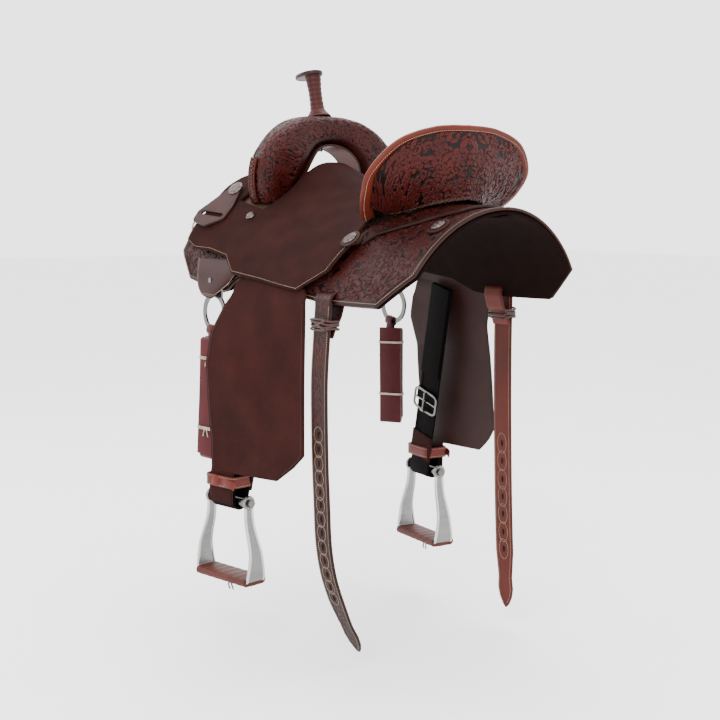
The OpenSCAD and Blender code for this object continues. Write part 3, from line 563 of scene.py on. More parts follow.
LATIGO = finish_mat("latigo", (0.0216, 0.001837, 0.002363), (0.0828, 0.007616, 0.009975), 0.45, 0.22, 16)
OFFBILLET = finish_mat("off_billet", (0.0156, 0.00216, 0.00288), (0.0728, 0.0102, 0.0126), 0.45, 0.22, 16)
BLACK = finish_mat("black", (0.0007, 0.000525, 0.000525),
                   (0.00315, 0.002275, 0.0021), 0.75, 0.3, 20, 1000, 0.3, spec=0.04)
BILLET = finish_mat("billet", (0.0186, 0.001782, 0.0008911), (0.09607, 0.01225, 0.00646), 0.42, 0.2, 12)
NEARBIL = finish_mat("near_billet", (0.00288, 0.00025, 0.000175),
                   (0.02952, 0.003375, 0.00195), 0.42, 0.2, 14)
TREAD = finish_mat("tread", (0.01705, 0.003575, 0.0022), (0.0682, 0.01705, 0.01155), 0.5, 0.2, 18)
CONCHO_M = finish_mat("engraved_silver", (0.0048, 0.0035, 0.0035), (0.12, 0.0945, 0.091), 0.34, 0.2, 90, 900,
                      0.15, 1.0)
THREAD = finish_mat("thread", (0.1499, 0.1157, 0.07283), (0.2999, 0.2485, 0.1799), 0.75, 0.2, 80, 2500, 0.6)
TWINE = finish_mat("twine", (0.24, 0.192, 0.136), (0.496, 0.424, 0.32), 0.8, 0.25, 80, 2500, 0.7)
LACE = finish_mat("lace", (0.010, 0.004, 0.003), (0.045, 0.016, 0.012), 0.40, 0.25, 60, coat=0.2)
# Punched holes are drawn as dark discs on the leather: painted shade inside the holes
HOLE_SHADE = finish_mat("punched_hole_shade", (0.002, 0.001, 0.001), (0.006, 0.003, 0.003), 0.9, 0.3, 60)
STEEL = finish_mat("polished_steel", (0.044, 0.04125, 0.0385),
                   (0.1815, 0.1787, 0.1732), 0.22, 0.1, 40, 700, 0.08, 1.0)
ALU = finish_mat("aluminium", (0.11, 0.1073, 0.1045), (0.22, 0.2173, 0.2145), 0.30, 0.10, 30, 500, 0.15, 1.0,
                 stretch=(1, 1, 9))
BRIGHT = finish_mat("bright_edge", (0.3, 0.3, 0.3), (0.54, 0.534, 0.528), 0.16, 0.06, 30, 500, 0.06, 1.0)
# Tree wood coloured dark: painted shade for the narrow gaps between the leathers
TREE_WOOD_SHADE = finish_mat("tree_wood", (0.03, 0.0152, 0.008), (0.055, 0.032, 0.0192), 0.6, 0.2, 30, 300, 0.3,
                  stretch=(6, 1, 1))

# ---- Skirts ---------------------------------------------------------------------------

FRONT = [[0, -262], [20, -262], [29, -270], [41, -283], [51, -290], [67, -301], [77, -264]]
REAR = [[0, 365], [8.5, 363], [20, 359], [33, 354], [43.6, 350], [53.3, 345], [66.1, 278], [80, 272]]
LOW = [[0, 77], [0.19, 76], [0.26, 73], [0.33, 67], [0.42, 62], [0.55, 61], [0.66, 65], [1, 66]]
TOP = [[0, 17], [0.22, 17], [0.34, 11], [0.78, 11], [0.86, 0.2], [1, 0.2]]
DEG = math.pi * ARCH_W / 180


def skirt_ay(u, v, inset=0.0):
    top = lerp_line(TOP, v)
    a = top + (lerp_line(LOW, v) - inset / DEG - top) * u
    y0, y1 = lerp_line(FRONT, a) + inset, lerp_line(REAR, a) - inset
    return a, y0 + (y1 - y0) * v


def skirt_border(inset, lift):
    """Path and normals at a distance inside the lower, rear and front edges."""
    out = []
    ones = np.ones(120)
    for u, v in ((np.linspace(0.4, 1, 120), 0 * ones), (ones, np.linspace(0, 1, 120)),
                 (np.linspace(1, 0.02, 120), ones)):
        a, y = skirt_ay(u, v, inset)
        out.append(np.stack([a, y], 1))
    ay = np.concatenate(out)
    p = on_side(ay[:, 0], ay[:, 1], lift)
    d = np.concatenate([[0], np.cumsum(np.linalg.norm(np.diff(p, axis=0), axis=1))])
    q = np.linspace(0, d[-1], 500)
    a, y = np.interp(q, d, ay[:, 0]), np.interp(q, d, ay[:, 1])
    p = on_side(a, y, lift)
    return p, p - on_side(a, y, lift - 1)


V = np.concatenate([np.linspace(0, 0.20, 66)[:-1], np.linspace(0.20, 0.55, 26)[:-1],
                    np.linspace(0.55, 1, 185)])
U, VV = np.meshgrid(np.linspace(0, 1, 140), V)
a, y = skirt_ay(U, VV)
skirt = sheet(on_side(a, y, 0), 5.2, 1.6, (1, 1, 0, 1),
              relief=tooled(4, 10, 1.8, pitch=50, size=20, leaf=16))
pair("skirt", skirt, [TOOLED, EDGE], "saddle", "skirt_{}")
U, VV = np.meshgrid(np.linspace(0, 1, 50), np.linspace(0, 1, 120))
a, y = skirt_ay(U, VV, 0.8)
lin = sheet(on_side(a, y, -5.8), 7, 2.2, (1, 1, 0, 1), relief=plain(0.5))
pair("skirt_lining", lin, [LINING, LINING], "saddle", "skirt_lining_{}")
p, n = skirt_border(5.0, 0.0)
pair("skirt_stitching", stitches(p, n, 4.2, 2.8, 0.45, 0.15), [THREAD], "saddle", None)

# ---- Rear jockey, seat and jockeys -----------------------------------------------------

FOOT = [[0, 262], [9, 256], [15, 238], [20, 214], [23.5, 192], [27, 172]]
BORDER = [[0, 322], [14, 316], [24, 262], [33, 186], [40, 166]]
J, I = np.meshgrid(np.linspace(0, 1, 130), np.linspace(0, 1, 44))
a0, a1 = 27 * J, 39 * J
y0, y1 = lerp_line(FOOT, a0), lerp_line(BORDER, a1)
y0 = y0 - 26
P = on_side(a0 * 1.12 + (a1 - a0 * 1.12) * I, y0 + (y1 - y0) * I, 6 + 4.2 * (1 - smooth(I, 0.1, 0.75)))
half = sheet(P, 4.6, 1.4, (0, 1, 0, 1), relief=tooled(9, 6, 1.6, pitch=42, size=15, leaf=14))
rj = Geo().join(half).join(half.mirrored())
piece("rear_jockey", rj, [TOOLED, EDGE], "saddle", ("rear_jockey",))


def both(g):
    return Geo().join(g).join(g.mirrored())


def seam(P, d, side, lo=0.0, hi=1.0, rise=0.2, centre=(0, 0, -150), pitch=4.0, length=2.7,
         r=0.42, out=1):
    """Stitches at d millimetres inside one side of a grid: r0, r1, c0 or c1."""
    N = unit(np.cross(np.gradient(P, axis=1), np.gradient(P, axis=0)))
    if np.sum(N * (P - np.asarray(centre, float))) * out < 0:
        N = -N
    A, B = (P, N) if side[0] == "c" else (P.transpose(1, 0, 2), N.transpose(1, 0, 2))
    if side[1] == "1":
        A, B = A[:, ::-1], B[:, ::-1]
    pts, nor = [], []
    n = len(A)
    for i in range(int(lo * (n - 1)), int(hi * (n - 1)) + 1):
        s = np.concatenate([[0], np.cumsum(np.linalg.norm(np.diff(A[i], axis=0), axis=1))])
        pts.append([np.interp(d, s, A[i][:, k]) for k in range(3)])
        nor.append([np.interp(d, s, B[i][:, k]) for k in range(3)])
    return stitches(np.array(pts), np.array(nor), pitch, length, r, rise)


CROWN = [[-200, 0], [-140, 12], [-100, 40], [-50, 30], [0, 22], [60, 17], [110, 19], [165, 30]]
SEAT_FRONT = [[0, -97], [12, -98], [20, -103], [28, -110], [33, -116], [36, -124]]
WING_FRONT = [[20, -250], [24.5, -256], [32, -260], [46.5, -258], [56, -271], [61.4, -273], [66, -257]]
SEAT_REAR = [[0, 150], [30, 152], [42, 163], [54, 146], [63.6, 84], [70, 60]]
JOCKEY_LOW = [[-262, 62], [-237, 63.5], [-189, 61.5], [-141, 61], [-107, 66], [-23, 64.4], [84, 63.6]]
DISH = np.array([
    [[-1, 146, 39], [36, 146, 33], [70, 147, 12], [98, 148, -14], [118, 151, -26]],
    [[-1, 205, 68], [42, 204, 64], [86, 200, 48], [119, 190, 17], [126, 164, -17]],
    [[-1, 256, 122], [66, 252, 118], [126, 238, 93], [154, 213, 36], [130, 170, -12]]], float)


def seat_point(a, y):
    p = on_side(a, y, 18.0)
    p[..., 2] += lerp_line(CROWN, y) * np.exp(-(np.abs(p[..., 0]) / 84) ** 3)
    return p


def seat_grid(a0, a1, front, rear, nu, nv):
    U, V = np.meshgrid(np.linspace(0, 1, nu), np.linspace(0, 1, nv))
    a = a0 + (a1 - a0) * U
    y0, y1 = lerp_line(front, a), lerp_line(rear, a)
    return seat_point(a, y0 + (y1 - y0) * V)


U, V = np.meshgrid(np.linspace(0, 1, 50), np.linspace(0, 1, 170))
ym = -262 + 346 * V
a = 36 + (lerp_line(JOCKEY_LOW, ym) - 36) * U
y0, y1 = lerp_line(WING_FRONT, a), lerp_line(SEAT_REAR, a)
JP = seat_point(a, y0 + (y1 - y0) * V)
soft = plain(0.35, 27, 3.0, 0.55)
centre_g = seat_grid(-0.3, 36.3, SEAT_FRONT, SEAT_REAR, 50, 110)
wing = seat_grid(14.5, 36.2, WING_FRONT, [[14, -186], [36.2, -196]], 36, 40)
U, V = np.meshgrid(np.linspace(0, 1, 70), np.linspace(0, 1, 50))
dish = patch(DISH, U, V)
g = Geo()
g.join(sheet(centre_g, 4.4, 1.4, (1, 0, 0, 0), relief=soft))
g.join(sheet(JP, 4.4, 1.4, (1, 1, 0, 1), relief=soft))
g.join(sheet(wing, 4.4, 1.4, (1, 1, 1, 0), relief=soft))
g.join(sheet(dish, 4.2, 1.4, (0, 0, 0, 0), centre=(0, 700, -300), relief=plain(0.6, 34, 3, 0.55)))
piece("seat", both(g), [ROUGH, EDGE], "saddle", ("seat_leather",))
st = Geo()
for side, lo, hi in (("c1", 0.02, 0.98), ("r1", 0.1, 0.98), ("r0", 0.1, 0.98)):
    st.join(seam(JP, 5, side, lo, hi))
pair("seat_stitching", st, [THREAD], "saddle", None)

# ---- Fork -----------------------------------------------------------------------------

F_OUT = [[126, 4], [136, 18], [146, 40], [151, 62], [147, 88], [132, 112], [104, 137], [71, 153],
         [36, 160], [0, 161]]
F_IN = [[90, 19], [86, 26], [80, 38], [73, 52], [66, 68], [58, 84], [46, 99], [33, 109], [17, 115],
        [0, 117]]
F_MID = [[-152.0], [-146], [-136], [-128], [-123], [-121], [-125], [-131], [-136], [-138]]
F_HALF = [[34.0], [34], [33], [31], [30], [30], [31], [33], [35], [36]]


def fork_at(t):
    o, i = curve(F_OUT, t), curve(F_IN, t)
    return o, i, unit(o - i), curve(F_MID, t)[:, 0], curve(F_HALF, t)[:, 0]


T1 = np.linspace(0, 9, 120)
o, i_, dr, mid, hw = fork_at(T1)
NPH = 200
phi = np.linspace(0, 2 * np.pi, NPH, endpoint=False)
cs, sn = np.cos(phi), np.sin(phi)
grow = 4.0
cc = (o + i_) / 2
rr = np.linalg.norm(o - i_, axis=1) / 2 + grow
uu = rr[:, None] * (np.sign(cs) * np.abs(cs) ** 0.62)[None]
ww = (hw + grow)[:, None] * (np.sign(sn) * np.abs(sn) ** 0.62)[None]
L = np.stack([cc[:, :1] + dr[:, :1] * uu, mid[:, None] + ww, cc[:, 1:] + dr[:, 1:] * uu], -1)
R = L[::-1][1:] * [-1, 1, 1]
S = np.concatenate([L, R])
m = len(S)
ext = np.concatenate([S[:, -1:], S, S[:, :1]], 1)
N = unit(np.cross(np.gradient(ext, axis=1)[:, 1:-1], np.gradient(S, axis=0)))
if np.sum(N * (S - S.mean(1, keepdims=True))) < 0:
    N = -N
perim = np.cumsum(np.linalg.norm(np.diff(ext[:, 1:], axis=1), axis=-1).mean(0))
su = np.broadcast_to(np.concatenate([[0], perim[:-1]]), (m, NPH))
sv = np.broadcast_to(np.concatenate([[0], np.cumsum(np.linalg.norm(
    np.diff(S[:, 0], axis=0), axis=-1))])[:, None], (m, NPH))
h, tone = carve(su, sv, 21, pitch=42, size=18, leaf=14)
inner = smooth(-np.broadcast_to(cs, (m, NPH)), 0.35, 0.42)
h = (1 - inner) * (h - 0.75)
tone = (1 - inner) * tone + inner * 0.35
swell = Geo().add((S + N * (1.5 * h)[..., None]).reshape(-1, 3), quads(m, NPH, closed=True), 0, tone)
swell.f += [list(range(NPH)), [(m - 1) * NPH + k for k in range(NPH)][::-1]]
swell.m += [1, 1]
piece("swell_cover", swell, [SWELL, EDGE], "saddle", ("swell_cover",))


def braid(path, normal, width, pitch, r, step=0.35):
    """Two laces that cross back and forth along a path."""
    p = resample(path, pitch * step)
    T = unit(np.gradient(p, axis=0))
    q = np.linspace(0, 1, len(p))
    N = np.asarray(normal, float)
    N = unit(np.broadcast_to(N, p.shape) if N.ndim == 1 else np.stack(
        [np.interp(q, np.linspace(0, 1, len(N)), N[:, k]) for k in range(3)], 1))
    W = unit(np.cross(N, T))
    ang = np.arange(len(p)) * step * 2 * np.pi
    g = Geo()
    for s in (0, 1):
        side = np.sin(ang / 2 + s * np.pi / 1.0) * width / 2
        over = 0.6 * r * np.cos(ang + s * np.pi)
        g.join(sweep(p + W * side[:, None] + N * (r * 0.7 + over)[:, None], circle(r, 6), N))
    return g


t = np.linspace(0.35, 3.85, 60)
o, i_, dr, mid, _ = fork_at(t)
c0 = (o + i_) / 2 + dr * (np.linalg.norm(o - i_, axis=1)[:, None] / 2 + 4.4 + 2.4)
dn = np.stack([dr[:, 0], 0 * t, dr[:, 1]], 1)
cen = np.stack([c0[:, 0], mid - 4, c0[:, 1]], 1)
W = np.linspace(-9, 9, 9)
P = cen[:, None] + np.array([0, 1, 0])[None, None] * W[None, :, None]
lacing = sheet(P, 2.2, 1, (1, 1, 1, 1), centre=(60, -130, 70), relief=plain(0.1))
for s in (-8, 8):
    lacing.join(sweep(cen + [0, s, 0] + dn * 0.6, circle(1.9, 8), dn), 0)
lacing.join(braid(cen + dn * 0.4, dn, 9, 7, 1.3), 2)
piece("swell_lacing", both(lacing), [SMOOTH, EDGE, LACE], "saddle", ("swell_lacing",))

s = np.linspace(-1, 1, 61)
t = (1 - np.abs(s)) * 8.4 + 0.6
o, i_, dr, mid, hw = fork_at(t)
q = i_ - dr * 7.0
sg = np.where(s < 0, 1, -1)
J = np.linspace(-1, 1, 16)
P = np.stack([np.broadcast_to((sg * q[:, 0])[:, None], (61, 16)), mid[:, None] + J * hw[:, None],
              np.broadcast_to(q[:, 1][:, None], (61, 16))], -1)
gl = sheet(P, -2.4, 0.8, (0, 0, 1, 1), centre=(0, -130, 20), relief=plain(0.2))
gl.join(seam(P, 4, "c1", 0.02, 0.98, rise=-0.3, centre=(0, -130, 20)), 2)
piece("gullet_lining", gl, [SMOOTH, EDGE, THREAD], "saddle", ("gullet_lining",))

# ---- Horn -----------------------------------------------------------------------------


def rot_x(d):
    c, s = math.cos(rad(d)), math.sin(rad(d))
    return np.array([[1, 0, 0], [0, c, -s], [0, s, c]])


def rot_y(d):
    c, s = math.cos(rad(d)), math.sin(rad(d))
    return np.array([[c, 0, s], [0, 1, 0], [-s, 0, c]])


def rot_z(d):
    c, s = math.cos(rad(d)), math.sin(rad(d))
    return np.array([[c, -s, 0], [s, c, 0], [0, 0, 1]])


def place(R, t):
    R, t = np.asarray(R, float), np.asarray(t, float)
    return lambda v: v @ R.T + t


def turned(profile, n=64, mat=0, tone=0.5):
    """Solid of revolution about Z from (radius, height) points."""
    pr = np.asarray(profile, float)
    th = np.arange(n) * 2 * np.pi / n
    pts = np.stack([pr[:, :1] * np.cos(th), pr[:, :1] * np.sin(th),
                    np.broadcast_to(pr[:, 1:], (len(pr), n))], -1)
    tn = np.broadcast_to(np.reshape(tone, (-1, 1)) if np.size(tone) > 1 else tone, (len(pr), n))
    g = Geo().add(pts.reshape(-1, 3), quads(len(pr), n, closed=True), mat, tn)
    g.f += [list(range(n))[::-1], [(len(pr) - 1) * n + k for k in range(n)]]
    g.m += [mat, mat]
    return g


horn = place(rot_x(13), (0, -143, 161))
z = np.linspace(2, 83, 150)
r = np.interp(z, [2, 6, 10, 18, 34, 54, 82], [24, 22, 17.5, 13.4, 12.4, 12.4, 15])
# The wrap's tone follows its turns: painted shade in the grooves between them, lighter on the ridges
wrap_groove_shade = 0.6 + 0.2 * np.sin(z * 2 * np.pi / 9)
wrap = turned(np.stack([r + 0.25 * np.sin(z * 2 * np.pi / 9), z], 1), 64, 0, wrap_groove_shade)
piece("horn_wrap", wrap.moved(horn), [HORN], "saddle", ("horn_wrap",))

ox, oy, th = oval(20.5, 30.5, 0.9, 120)
rho = np.linspace(0.02, 1, 46)
X, Y = rho[:, None] * ox, rho[:, None] * oy
h, tone = carve(X, Y, 33, pitch=30, size=12, leaf=7)
k = 1 - smooth(np.broadcast_to(rho[:, None], X.shape), 0.80, 0.85)
Z = 3.0 + 1.6 * (1 - rho[:, None] ** 2) + 1.1 * k * (h - 0.75)
cap = Geo().add(np.stack([X, Y, Z], -1).reshape(-1, 3), quads(46, 120, closed=True), 0,
                k * tone + (1 - k) * 0.4)
cap.add(np.stack([X, Y, np.full(X.shape, -3.2) - 0.8 * (1 - rho[:, None] ** 2)], -1).reshape(-1, 3),
        [q[::-1] for q in quads(46, 120, closed=True)], 1, 0.4)
edge_path = np.stack([ox, oy, 0 * th], 1) * 0.93
cap.join(sweep(edge_path, slab(5, 8.0, 2.4), (0, 0, 1), closed=True), 1)
cap.join(stitches(np.stack([ox * 0.84, oy * 0.84, 0 * th + 3.9], 1), (0, 0, 1), 3.4, 2.4, 0.4), 2)
in_cap = place(rot_x(-3), (0, -12, 87))
piece("horn_cap", cap.moved(in_cap).moved(horn), [CAPMAT, CAPMAT, LACE], "saddle", ("horn_cap",))

# ---- Cantle ---------------------------------------------------------------------------

RIM = np.array([[0, 266, 125], [66, 261, 121], [130, 250, 100], [167, 231, 58], [164, 211, 25],
                [148, 188, 0], [126, 166, -18]], float)
k = np.arange(5) * 1.48
ro = curve(RIM, k)
outer = ro + unit(np.stack([ro[:, 0], 0 * k + 80, 0 * k + 40], 1)) * 4
inner_row = DISH[2] + [0, 0, 1]
mid_row = (inner_row + outer) / 2 + [0, 1, 5]
U, V = np.meshgrid(np.linspace(0, 1, 160), np.linspace(0, 1, 26))
P = patch([inner_row, mid_row, outer], U, V)
face = sheet(P, 2.6, 1, (0, 0, 0, 0), centre=(0, 300, -60), relief=tooled(41, 3, 1.0, pitch=26, size=9))
piece("cantle_facing", both(face), [PANEL, EDGE], "saddle", ("cantle_facing",))

half_rim = curve(RIM, np.linspace(0, 6, 90))
path = np.concatenate([half_rim[:0:-1], half_rim * [-1, 1, 1]])
T = unit(np.gradient(path, axis=0))
out = unit(np.cross(T, np.array([0, 0.55, -0.83])))
upn = np.cross(out, T)
ang = np.linspace(0, 2 * np.pi, 28, endpoint=False)
wrk = np.sin(np.arange(len(path)) * 0.9) * 0.12
P = (path[:, None] + out[:, None] * (np.cos(ang) * 11)[None, :, None]
     + upn[:, None] * ((np.sin(ang) * 5.7)[None, :, None] + wrk[:, None, None]))
bind = Geo().add(P.reshape(-1, 3), quads(len(path), 28, closed=True), 0, 0.75)
bind.f += [list(range(28))[::-1], [(len(path) - 1) * 28 + j for j in range(28)]]
bind.m += [0, 0]
for sgn in (1, -1):
    row = path + out * (-5.5) + upn * (sgn * 5.2)
    bind.join(stitches(row, upn * sgn, 4.2, 3.0, 0.5, 0.1), 1)
piece("cantle_binding", bind, [ROLL, THREAD], "saddle", ("cantle_binding",))

B_FOOT = np.array([[0, 268, 11], [35, 260, 7], [58, 240, 1], [76, 216, -7], [88, 192, -13],
                   [97, 174, -15]], float)
# The panel's top edge is tucked just inside the roll
B_TOP = curve(RIM, np.array([0, 0.97, 1.95, 3.0, 4.0, 5.0])) * [0.975, 1, 1] + [0, 6.5, -3.5]
U, V = np.meshgrid(np.linspace(0, 1, 190), np.linspace(0, 1, 84))
P = patch([B_TOP, (B_TOP + B_FOOT) / 2 + [0, 5, 0], B_FOOT], U, V)
cb = sheet(P, 3.2, 1, (0, 0, 0, 0), centre=(0, 100, 30),
           relief=tooled(52, 4, 1.8, pitch=46, size=18, leaf=15))
piece("cantle_back", both(cb), [PANEL, EDGE], "saddle", ("cantle_back",))
foot = patch([B_TOP, (B_TOP + B_FOOT) / 2 + [0, 5, 0], B_FOOT], U, V)[-1] + [0, 2.5, 2]
foot = np.concatenate([foot[:0:-1], foot * [-1, 1, 1]])
piece("cantle_braid", braid(foot, (0, 0.7, 0.7), 5, 7, 1.5), [LACE], "saddle", ())

# ---- Rigging --------------------------------------------------------------------------

# The off side's rigging sits a little lower
SHIFT = np.array([0, 0.0, -4.0])
RING = np.array([213.0, -174, -197])
rows = np.array([
    [[203.8, -226, -98], [210, -222, -121], [216, -214, -149], [219, -199, -164]],
    [[201.2, -200, -98], [209.5, -199, -123], [217, -194, -154], [220, -186, -168]],
    [[197.6, -165, -98], [207, -164, -123], [217, -164, -155], [220, -168, -170]],
    [[193.4, -127, -98], [202, -128, -118], [213, -138, -146], [217, -153, -163]],
    [[190, -96, -98], [195, -98, -108], [203.4, -108, -125], [208.2, -124, -142]]]) + [6, 0, 0]
rows[:, :, 0] += [6, 5.5, 2.5, 1]
U, V = np.meshgrid(np.linspace(0, 1, 50), np.linspace(0, 1, 70))
P = patch(rows, U, V)
cov = sheet(P, 3.2, 1.3, (1, 1, 1, 1), centre=(0, -165, -130), relief=plain(0.3))
for d in (5, 8):
    cov.join(seam(P, d, "c1", 0.04, 0.96, centre=(0, -165, -130)), 2)
cov.join(seam(P, 5, "r0", 0.05, 0.95, centre=(0, -165, -130)), 2)
cov.join(seam(P, 5, "r1", 0.05, 0.95, centre=(0, -165, -130)), 2)
pair("rigging_cover", cov, [COVER, EDGE, THREAD], "saddle", "rigging_cover_{}",
     far=lambda v: v + SHIFT)

bar = RING + rot_x(-12) @ np.array([0, 0, -33.5])
hank = rot_x(-12) @ rot_x(8) @ rot_z(16)
far_hank = rot_x(-12) @ rot_x(13) @ rot_z(-26)


def folded(length, name, body, node, m, flip):
    """Strap folded three times, hung by a narrow loop round the ring's bar."""
    pts = []
    for k, (x, down) in enumerate(((-6, 1), (0, 0), (6, 1))):
        z0, z1 = -14 - 2 * k, -length - 8 + 5 * k
        zz = np.linspace(z0, z1, 40) if down else np.linspace(z1, z0, 40)
        pts += [(x + 0.5 * math.sin(q * 0.03 + k), q) for q in zz]
    pts = np.array(pts)
    path = np.stack([pts[:, 0], 0 * pts[:, 0], pts[:, 1]], 1)
    path = resample(path, 1.6)
    for _ in range(2):
        path[1:-1] = (path[:-2] + path[1:-1] + path[2:]) / 3
    T = unit(np.gradient(path, axis=0))
    g = sweep(path, slab(46, 4.7, 1.3), np.cross(T, [0, 1, 0]), mat=0)
    g.join(sweep(path, np.stack([[22.9, 23.15, 23.15, 22.9], [-1.2, -0.7, 0.7, 1.2]], 1),
                 np.cross(T, [0, 1, 0]), mat=1, caps=False))
    g = g.moved(place(far_hank if flip else hank, bar))
    a = rad(np.linspace(-70, 250, 40))
    lp = np.stack([8.2 * np.cos(a), 0 * a, 8.2 * np.sin(a)], 1)
    lp = np.concatenate([[[2.5, 0, -26]], lp, [[-2.5, 0, -26]]])
    T = unit(np.gradient(lp, axis=0))
    g.join(sweep(lp, slab(18, 3, 1), np.cross(T, [0, 1, 0])).moved(place(rot_x(-12), bar)))
    if flip:
        g = g.mirrored().moved(lambda v: v + SHIFT)
    piece(name, g, [m, PALE], body, (node,))


def twine(drops, name, node, body, flip):
    g = Geo()
    for d in drops:
        x, w, a = oval(10.3, 24.9, 0.35, 60)
        for k in (-1, 0, 1):
            g.join(sweep(np.stack([x, w, -d + k * 1.7 + 0.5 * np.sin(a + k)], 1), circle(0.85, 6),
                         (0, 0, 1), closed=True))
        for s in (1, -1):
            tail = np.array([[10.5, s, -d], [12.5, 3 * s, -d - 4], [12.5, 5 * s, -d - 11],
                             [12, 6 * s, -d - 15]], float)
            g.join(sweep(curve(tail, np.linspace(0, 3, 12)), circle(0.8, 6), (1, 0, 0)))
    g = g.moved(place(far_hank if flip else hank, bar))
    if flip:
        g = g.mirrored().moved(lambda v: v + SHIFT)
    piece(name, g, [TWINE], body, (node,))


folded(236, "latigo_strap", "latigo", "latigo_left", LATIGO, False)
folded(200, "off_billet_strap", "off_billet", "off_billet_right", OFFBILLET, True)
twine((52, 184), "latigo_twine", "latigo_ties", "latigo", False)
twine((44, 150), "off_billet_twine", "off_billet_ties", "off_billet", True)

# ---- Keepers, tabs, breast rings, conchos ----------------------------------------------

CONCHO = np.array([127.0, -222, 21])
RJ = rot_y(47) @ rot_x(-9)


def hull2(points):
    pts = sorted(map(tuple, points))

    def chain(seq):
        out = []
        for p in seq:
            while len(out) > 1 and ((out[-1][0] - out[-2][0]) * (p[1] - out[-2][1])
                                    - (out[-1][1] - out[-2][1]) * (p[0] - out[-2][0])) <= 0:
                out.pop()
            out.append(p)
        return out[:-1]
    return np.array(chain(pts) + chain(pts[::-1]))


def cast(poly, c, ang):
    """Distance from c to a convex outline along each angle."""
    out = []
    q = np.roll(poly, -1, 0)
    for a in ang:
        d = np.array([math.cos(a), math.sin(a)])
        e = q - poly
        den = d[0] * e[:, 1] - d[1] * e[:, 0]
        w = poly - c
        with np.errstate(divide="ignore", invalid="ignore"):
            t = (w[:, 0] * e[:, 1] - w[:, 1] * e[:, 0]) / den
            k = (w[:, 0] * d[1] - w[:, 1] * d[0]) / den
        ok = (t > 0) & (k >= -1e-6) & (k <= 1 + 1e-6)
        out.append(t[ok].min())
    return np.array(out)


disc = circle(1, 48)
shape = hull2(np.concatenate([disc * 15] + [disc * 10 + c for c in
                                            ((42, 18), (66, 18), (85, -10), (80, -41), (66, -43))]))
slot = hull2(np.concatenate([disc * 4.3 + (66, -36), disc * 4.3 + (65, 14)]))
C = np.array([65.5, -11])
ang = np.linspace(0, 2 * np.pi, 260, endpoint=False)
r0, r1 = cast(slot, C, ang), cast(shape, C, ang)
s = np.concatenate([[0, 0.01, 0.03], np.linspace(0.07, 0.9, 12), [0.95, 0.985, 1]])
rad_ = r0 + (r1 - r0) * s[:, None]
edge = np.minimum(rad_ - r0, r1 - rad_)
kk = np.clip(edge / 1.4, 0, 1)
zt = 4.2 - 1.3 * (1 - np.sqrt(1 - (1 - kk) ** 2)) - 0.5 * np.exp(-((edge - 4.5) / 0.8) ** 2)
XY = np.stack([C[0] + rad_ * np.cos(ang), C[1] + rad_ * np.sin(ang)], -1)
kp = Geo().add(np.concatenate([XY, zt[..., None]], -1).reshape(-1, 3), quads(len(s), 260, closed=True),
               0, 0.55 - 0.4 * np.exp(-edge / 2.0))
kp.add(np.concatenate([XY, 0 * zt[..., None] + 0.2], -1).reshape(-1, 3),
       quads(len(s), 260, closed=True, flip=True), 0, 0.4)
m0 = len(s) * 260
for row, fl in ((0, 0), (len(s) - 1, 1)):
    w = [(row * 260 + j, row * 260 + (j + 1) % 260, m0 + row * 260 + (j + 1) % 260, m0 + row * 260 + j)
         for j in range(260)]
    kp.f += [q[::-1] for q in w] if fl == 0 else w
    kp.m += [1] * 260
kp = kp.moved(lambda v: v + [0, 0, 9]).moved(place(RJ, CONCHO))
pair("latigo_keeper", kp, [DARK, EDGE], "keeper_{}", "latigo_keeper_{}")

RT = RJ @ rot_y(7) @ rot_z(-30)
TAB = CONCHO + RJ @ np.array([0, 0, 0.4])
tb = sweep(np.array([[14, 0, 1.5], [30, 0, 1.6], [50, 0, 1.7], [66, 0, 2.2]]), slab(14, 3, 1), (0, 0, 1))
a = np.linspace(0, 2 * np.pi, 24, endpoint=False)
lp = np.stack([70 + 3 * np.cos(a), 0 * a, 3.7 + 3 * np.sin(a)], 1)
tb.join(sweep(lp, slab(9, 1.3, 0.5), np.cross(unit(np.roll(lp, -1, 0) - np.roll(lp, 1, 0)), [0, 1, 0]),
              closed=True))
piece("ring_tabs", both(tb.moved(place(RT, TAB))), [DARK], "saddle", ("ring_tabs",))
a = np.linspace(0, 2 * np.pi, 72, endpoint=False)
br = sweep(np.stack([91.6 + 21.4 * np.cos(a), 21.4 * np.sin(a), 3.9 + 0 * a], 1), circle(1.3, 12), (0, 0, 1),
           closed=True)
pair("breast_ring", br.moved(place(RT, TAB)), [STEEL], "breast_ring_{}", "breast_ring_{}")


def concho(R, n_petal, bead):
    """Domed and engraved silver disc."""
    rho, th = np.linspace(0.01, 1, 34), np.linspace(0, 2 * np.pi, 120, endpoint=False)
    Rr, Th = np.meshgrid(rho, th, indexing="ij")
    petal = np.abs(np.sin(Th * n_petal / 2)) ** 0.5
    z = 3.4 * (1 - Rr ** 2) + 0.6 * petal * smooth(Rr, 0.15, 0.3) * (1 - smooth(Rr, 0.66, 0.72))
    z = z + 0.6 * np.exp(-((Rr - 0.78) / 0.04) ** 2) + bead * 0.8 * np.exp(-((Rr - 0.93) / 0.05) ** 2) \
        * (0.5 + 0.5 * np.cos(Th * 30))
    tone = np.clip(0.35 + 0.6 * petal - 0.5 * np.exp(-((Rr - 0.72) / 0.04) ** 2), 0, 1)
    g = Geo().add(np.stack([R * Rr * np.cos(Th), R * Rr * np.sin(Th), z + 1], -1).reshape(-1, 3),
                  quads(34, 120, closed=True), 0, tone)
    g.join(turned([[R * 0.2, 0], [R, 0], [R, 1.0]], 120))
    return g


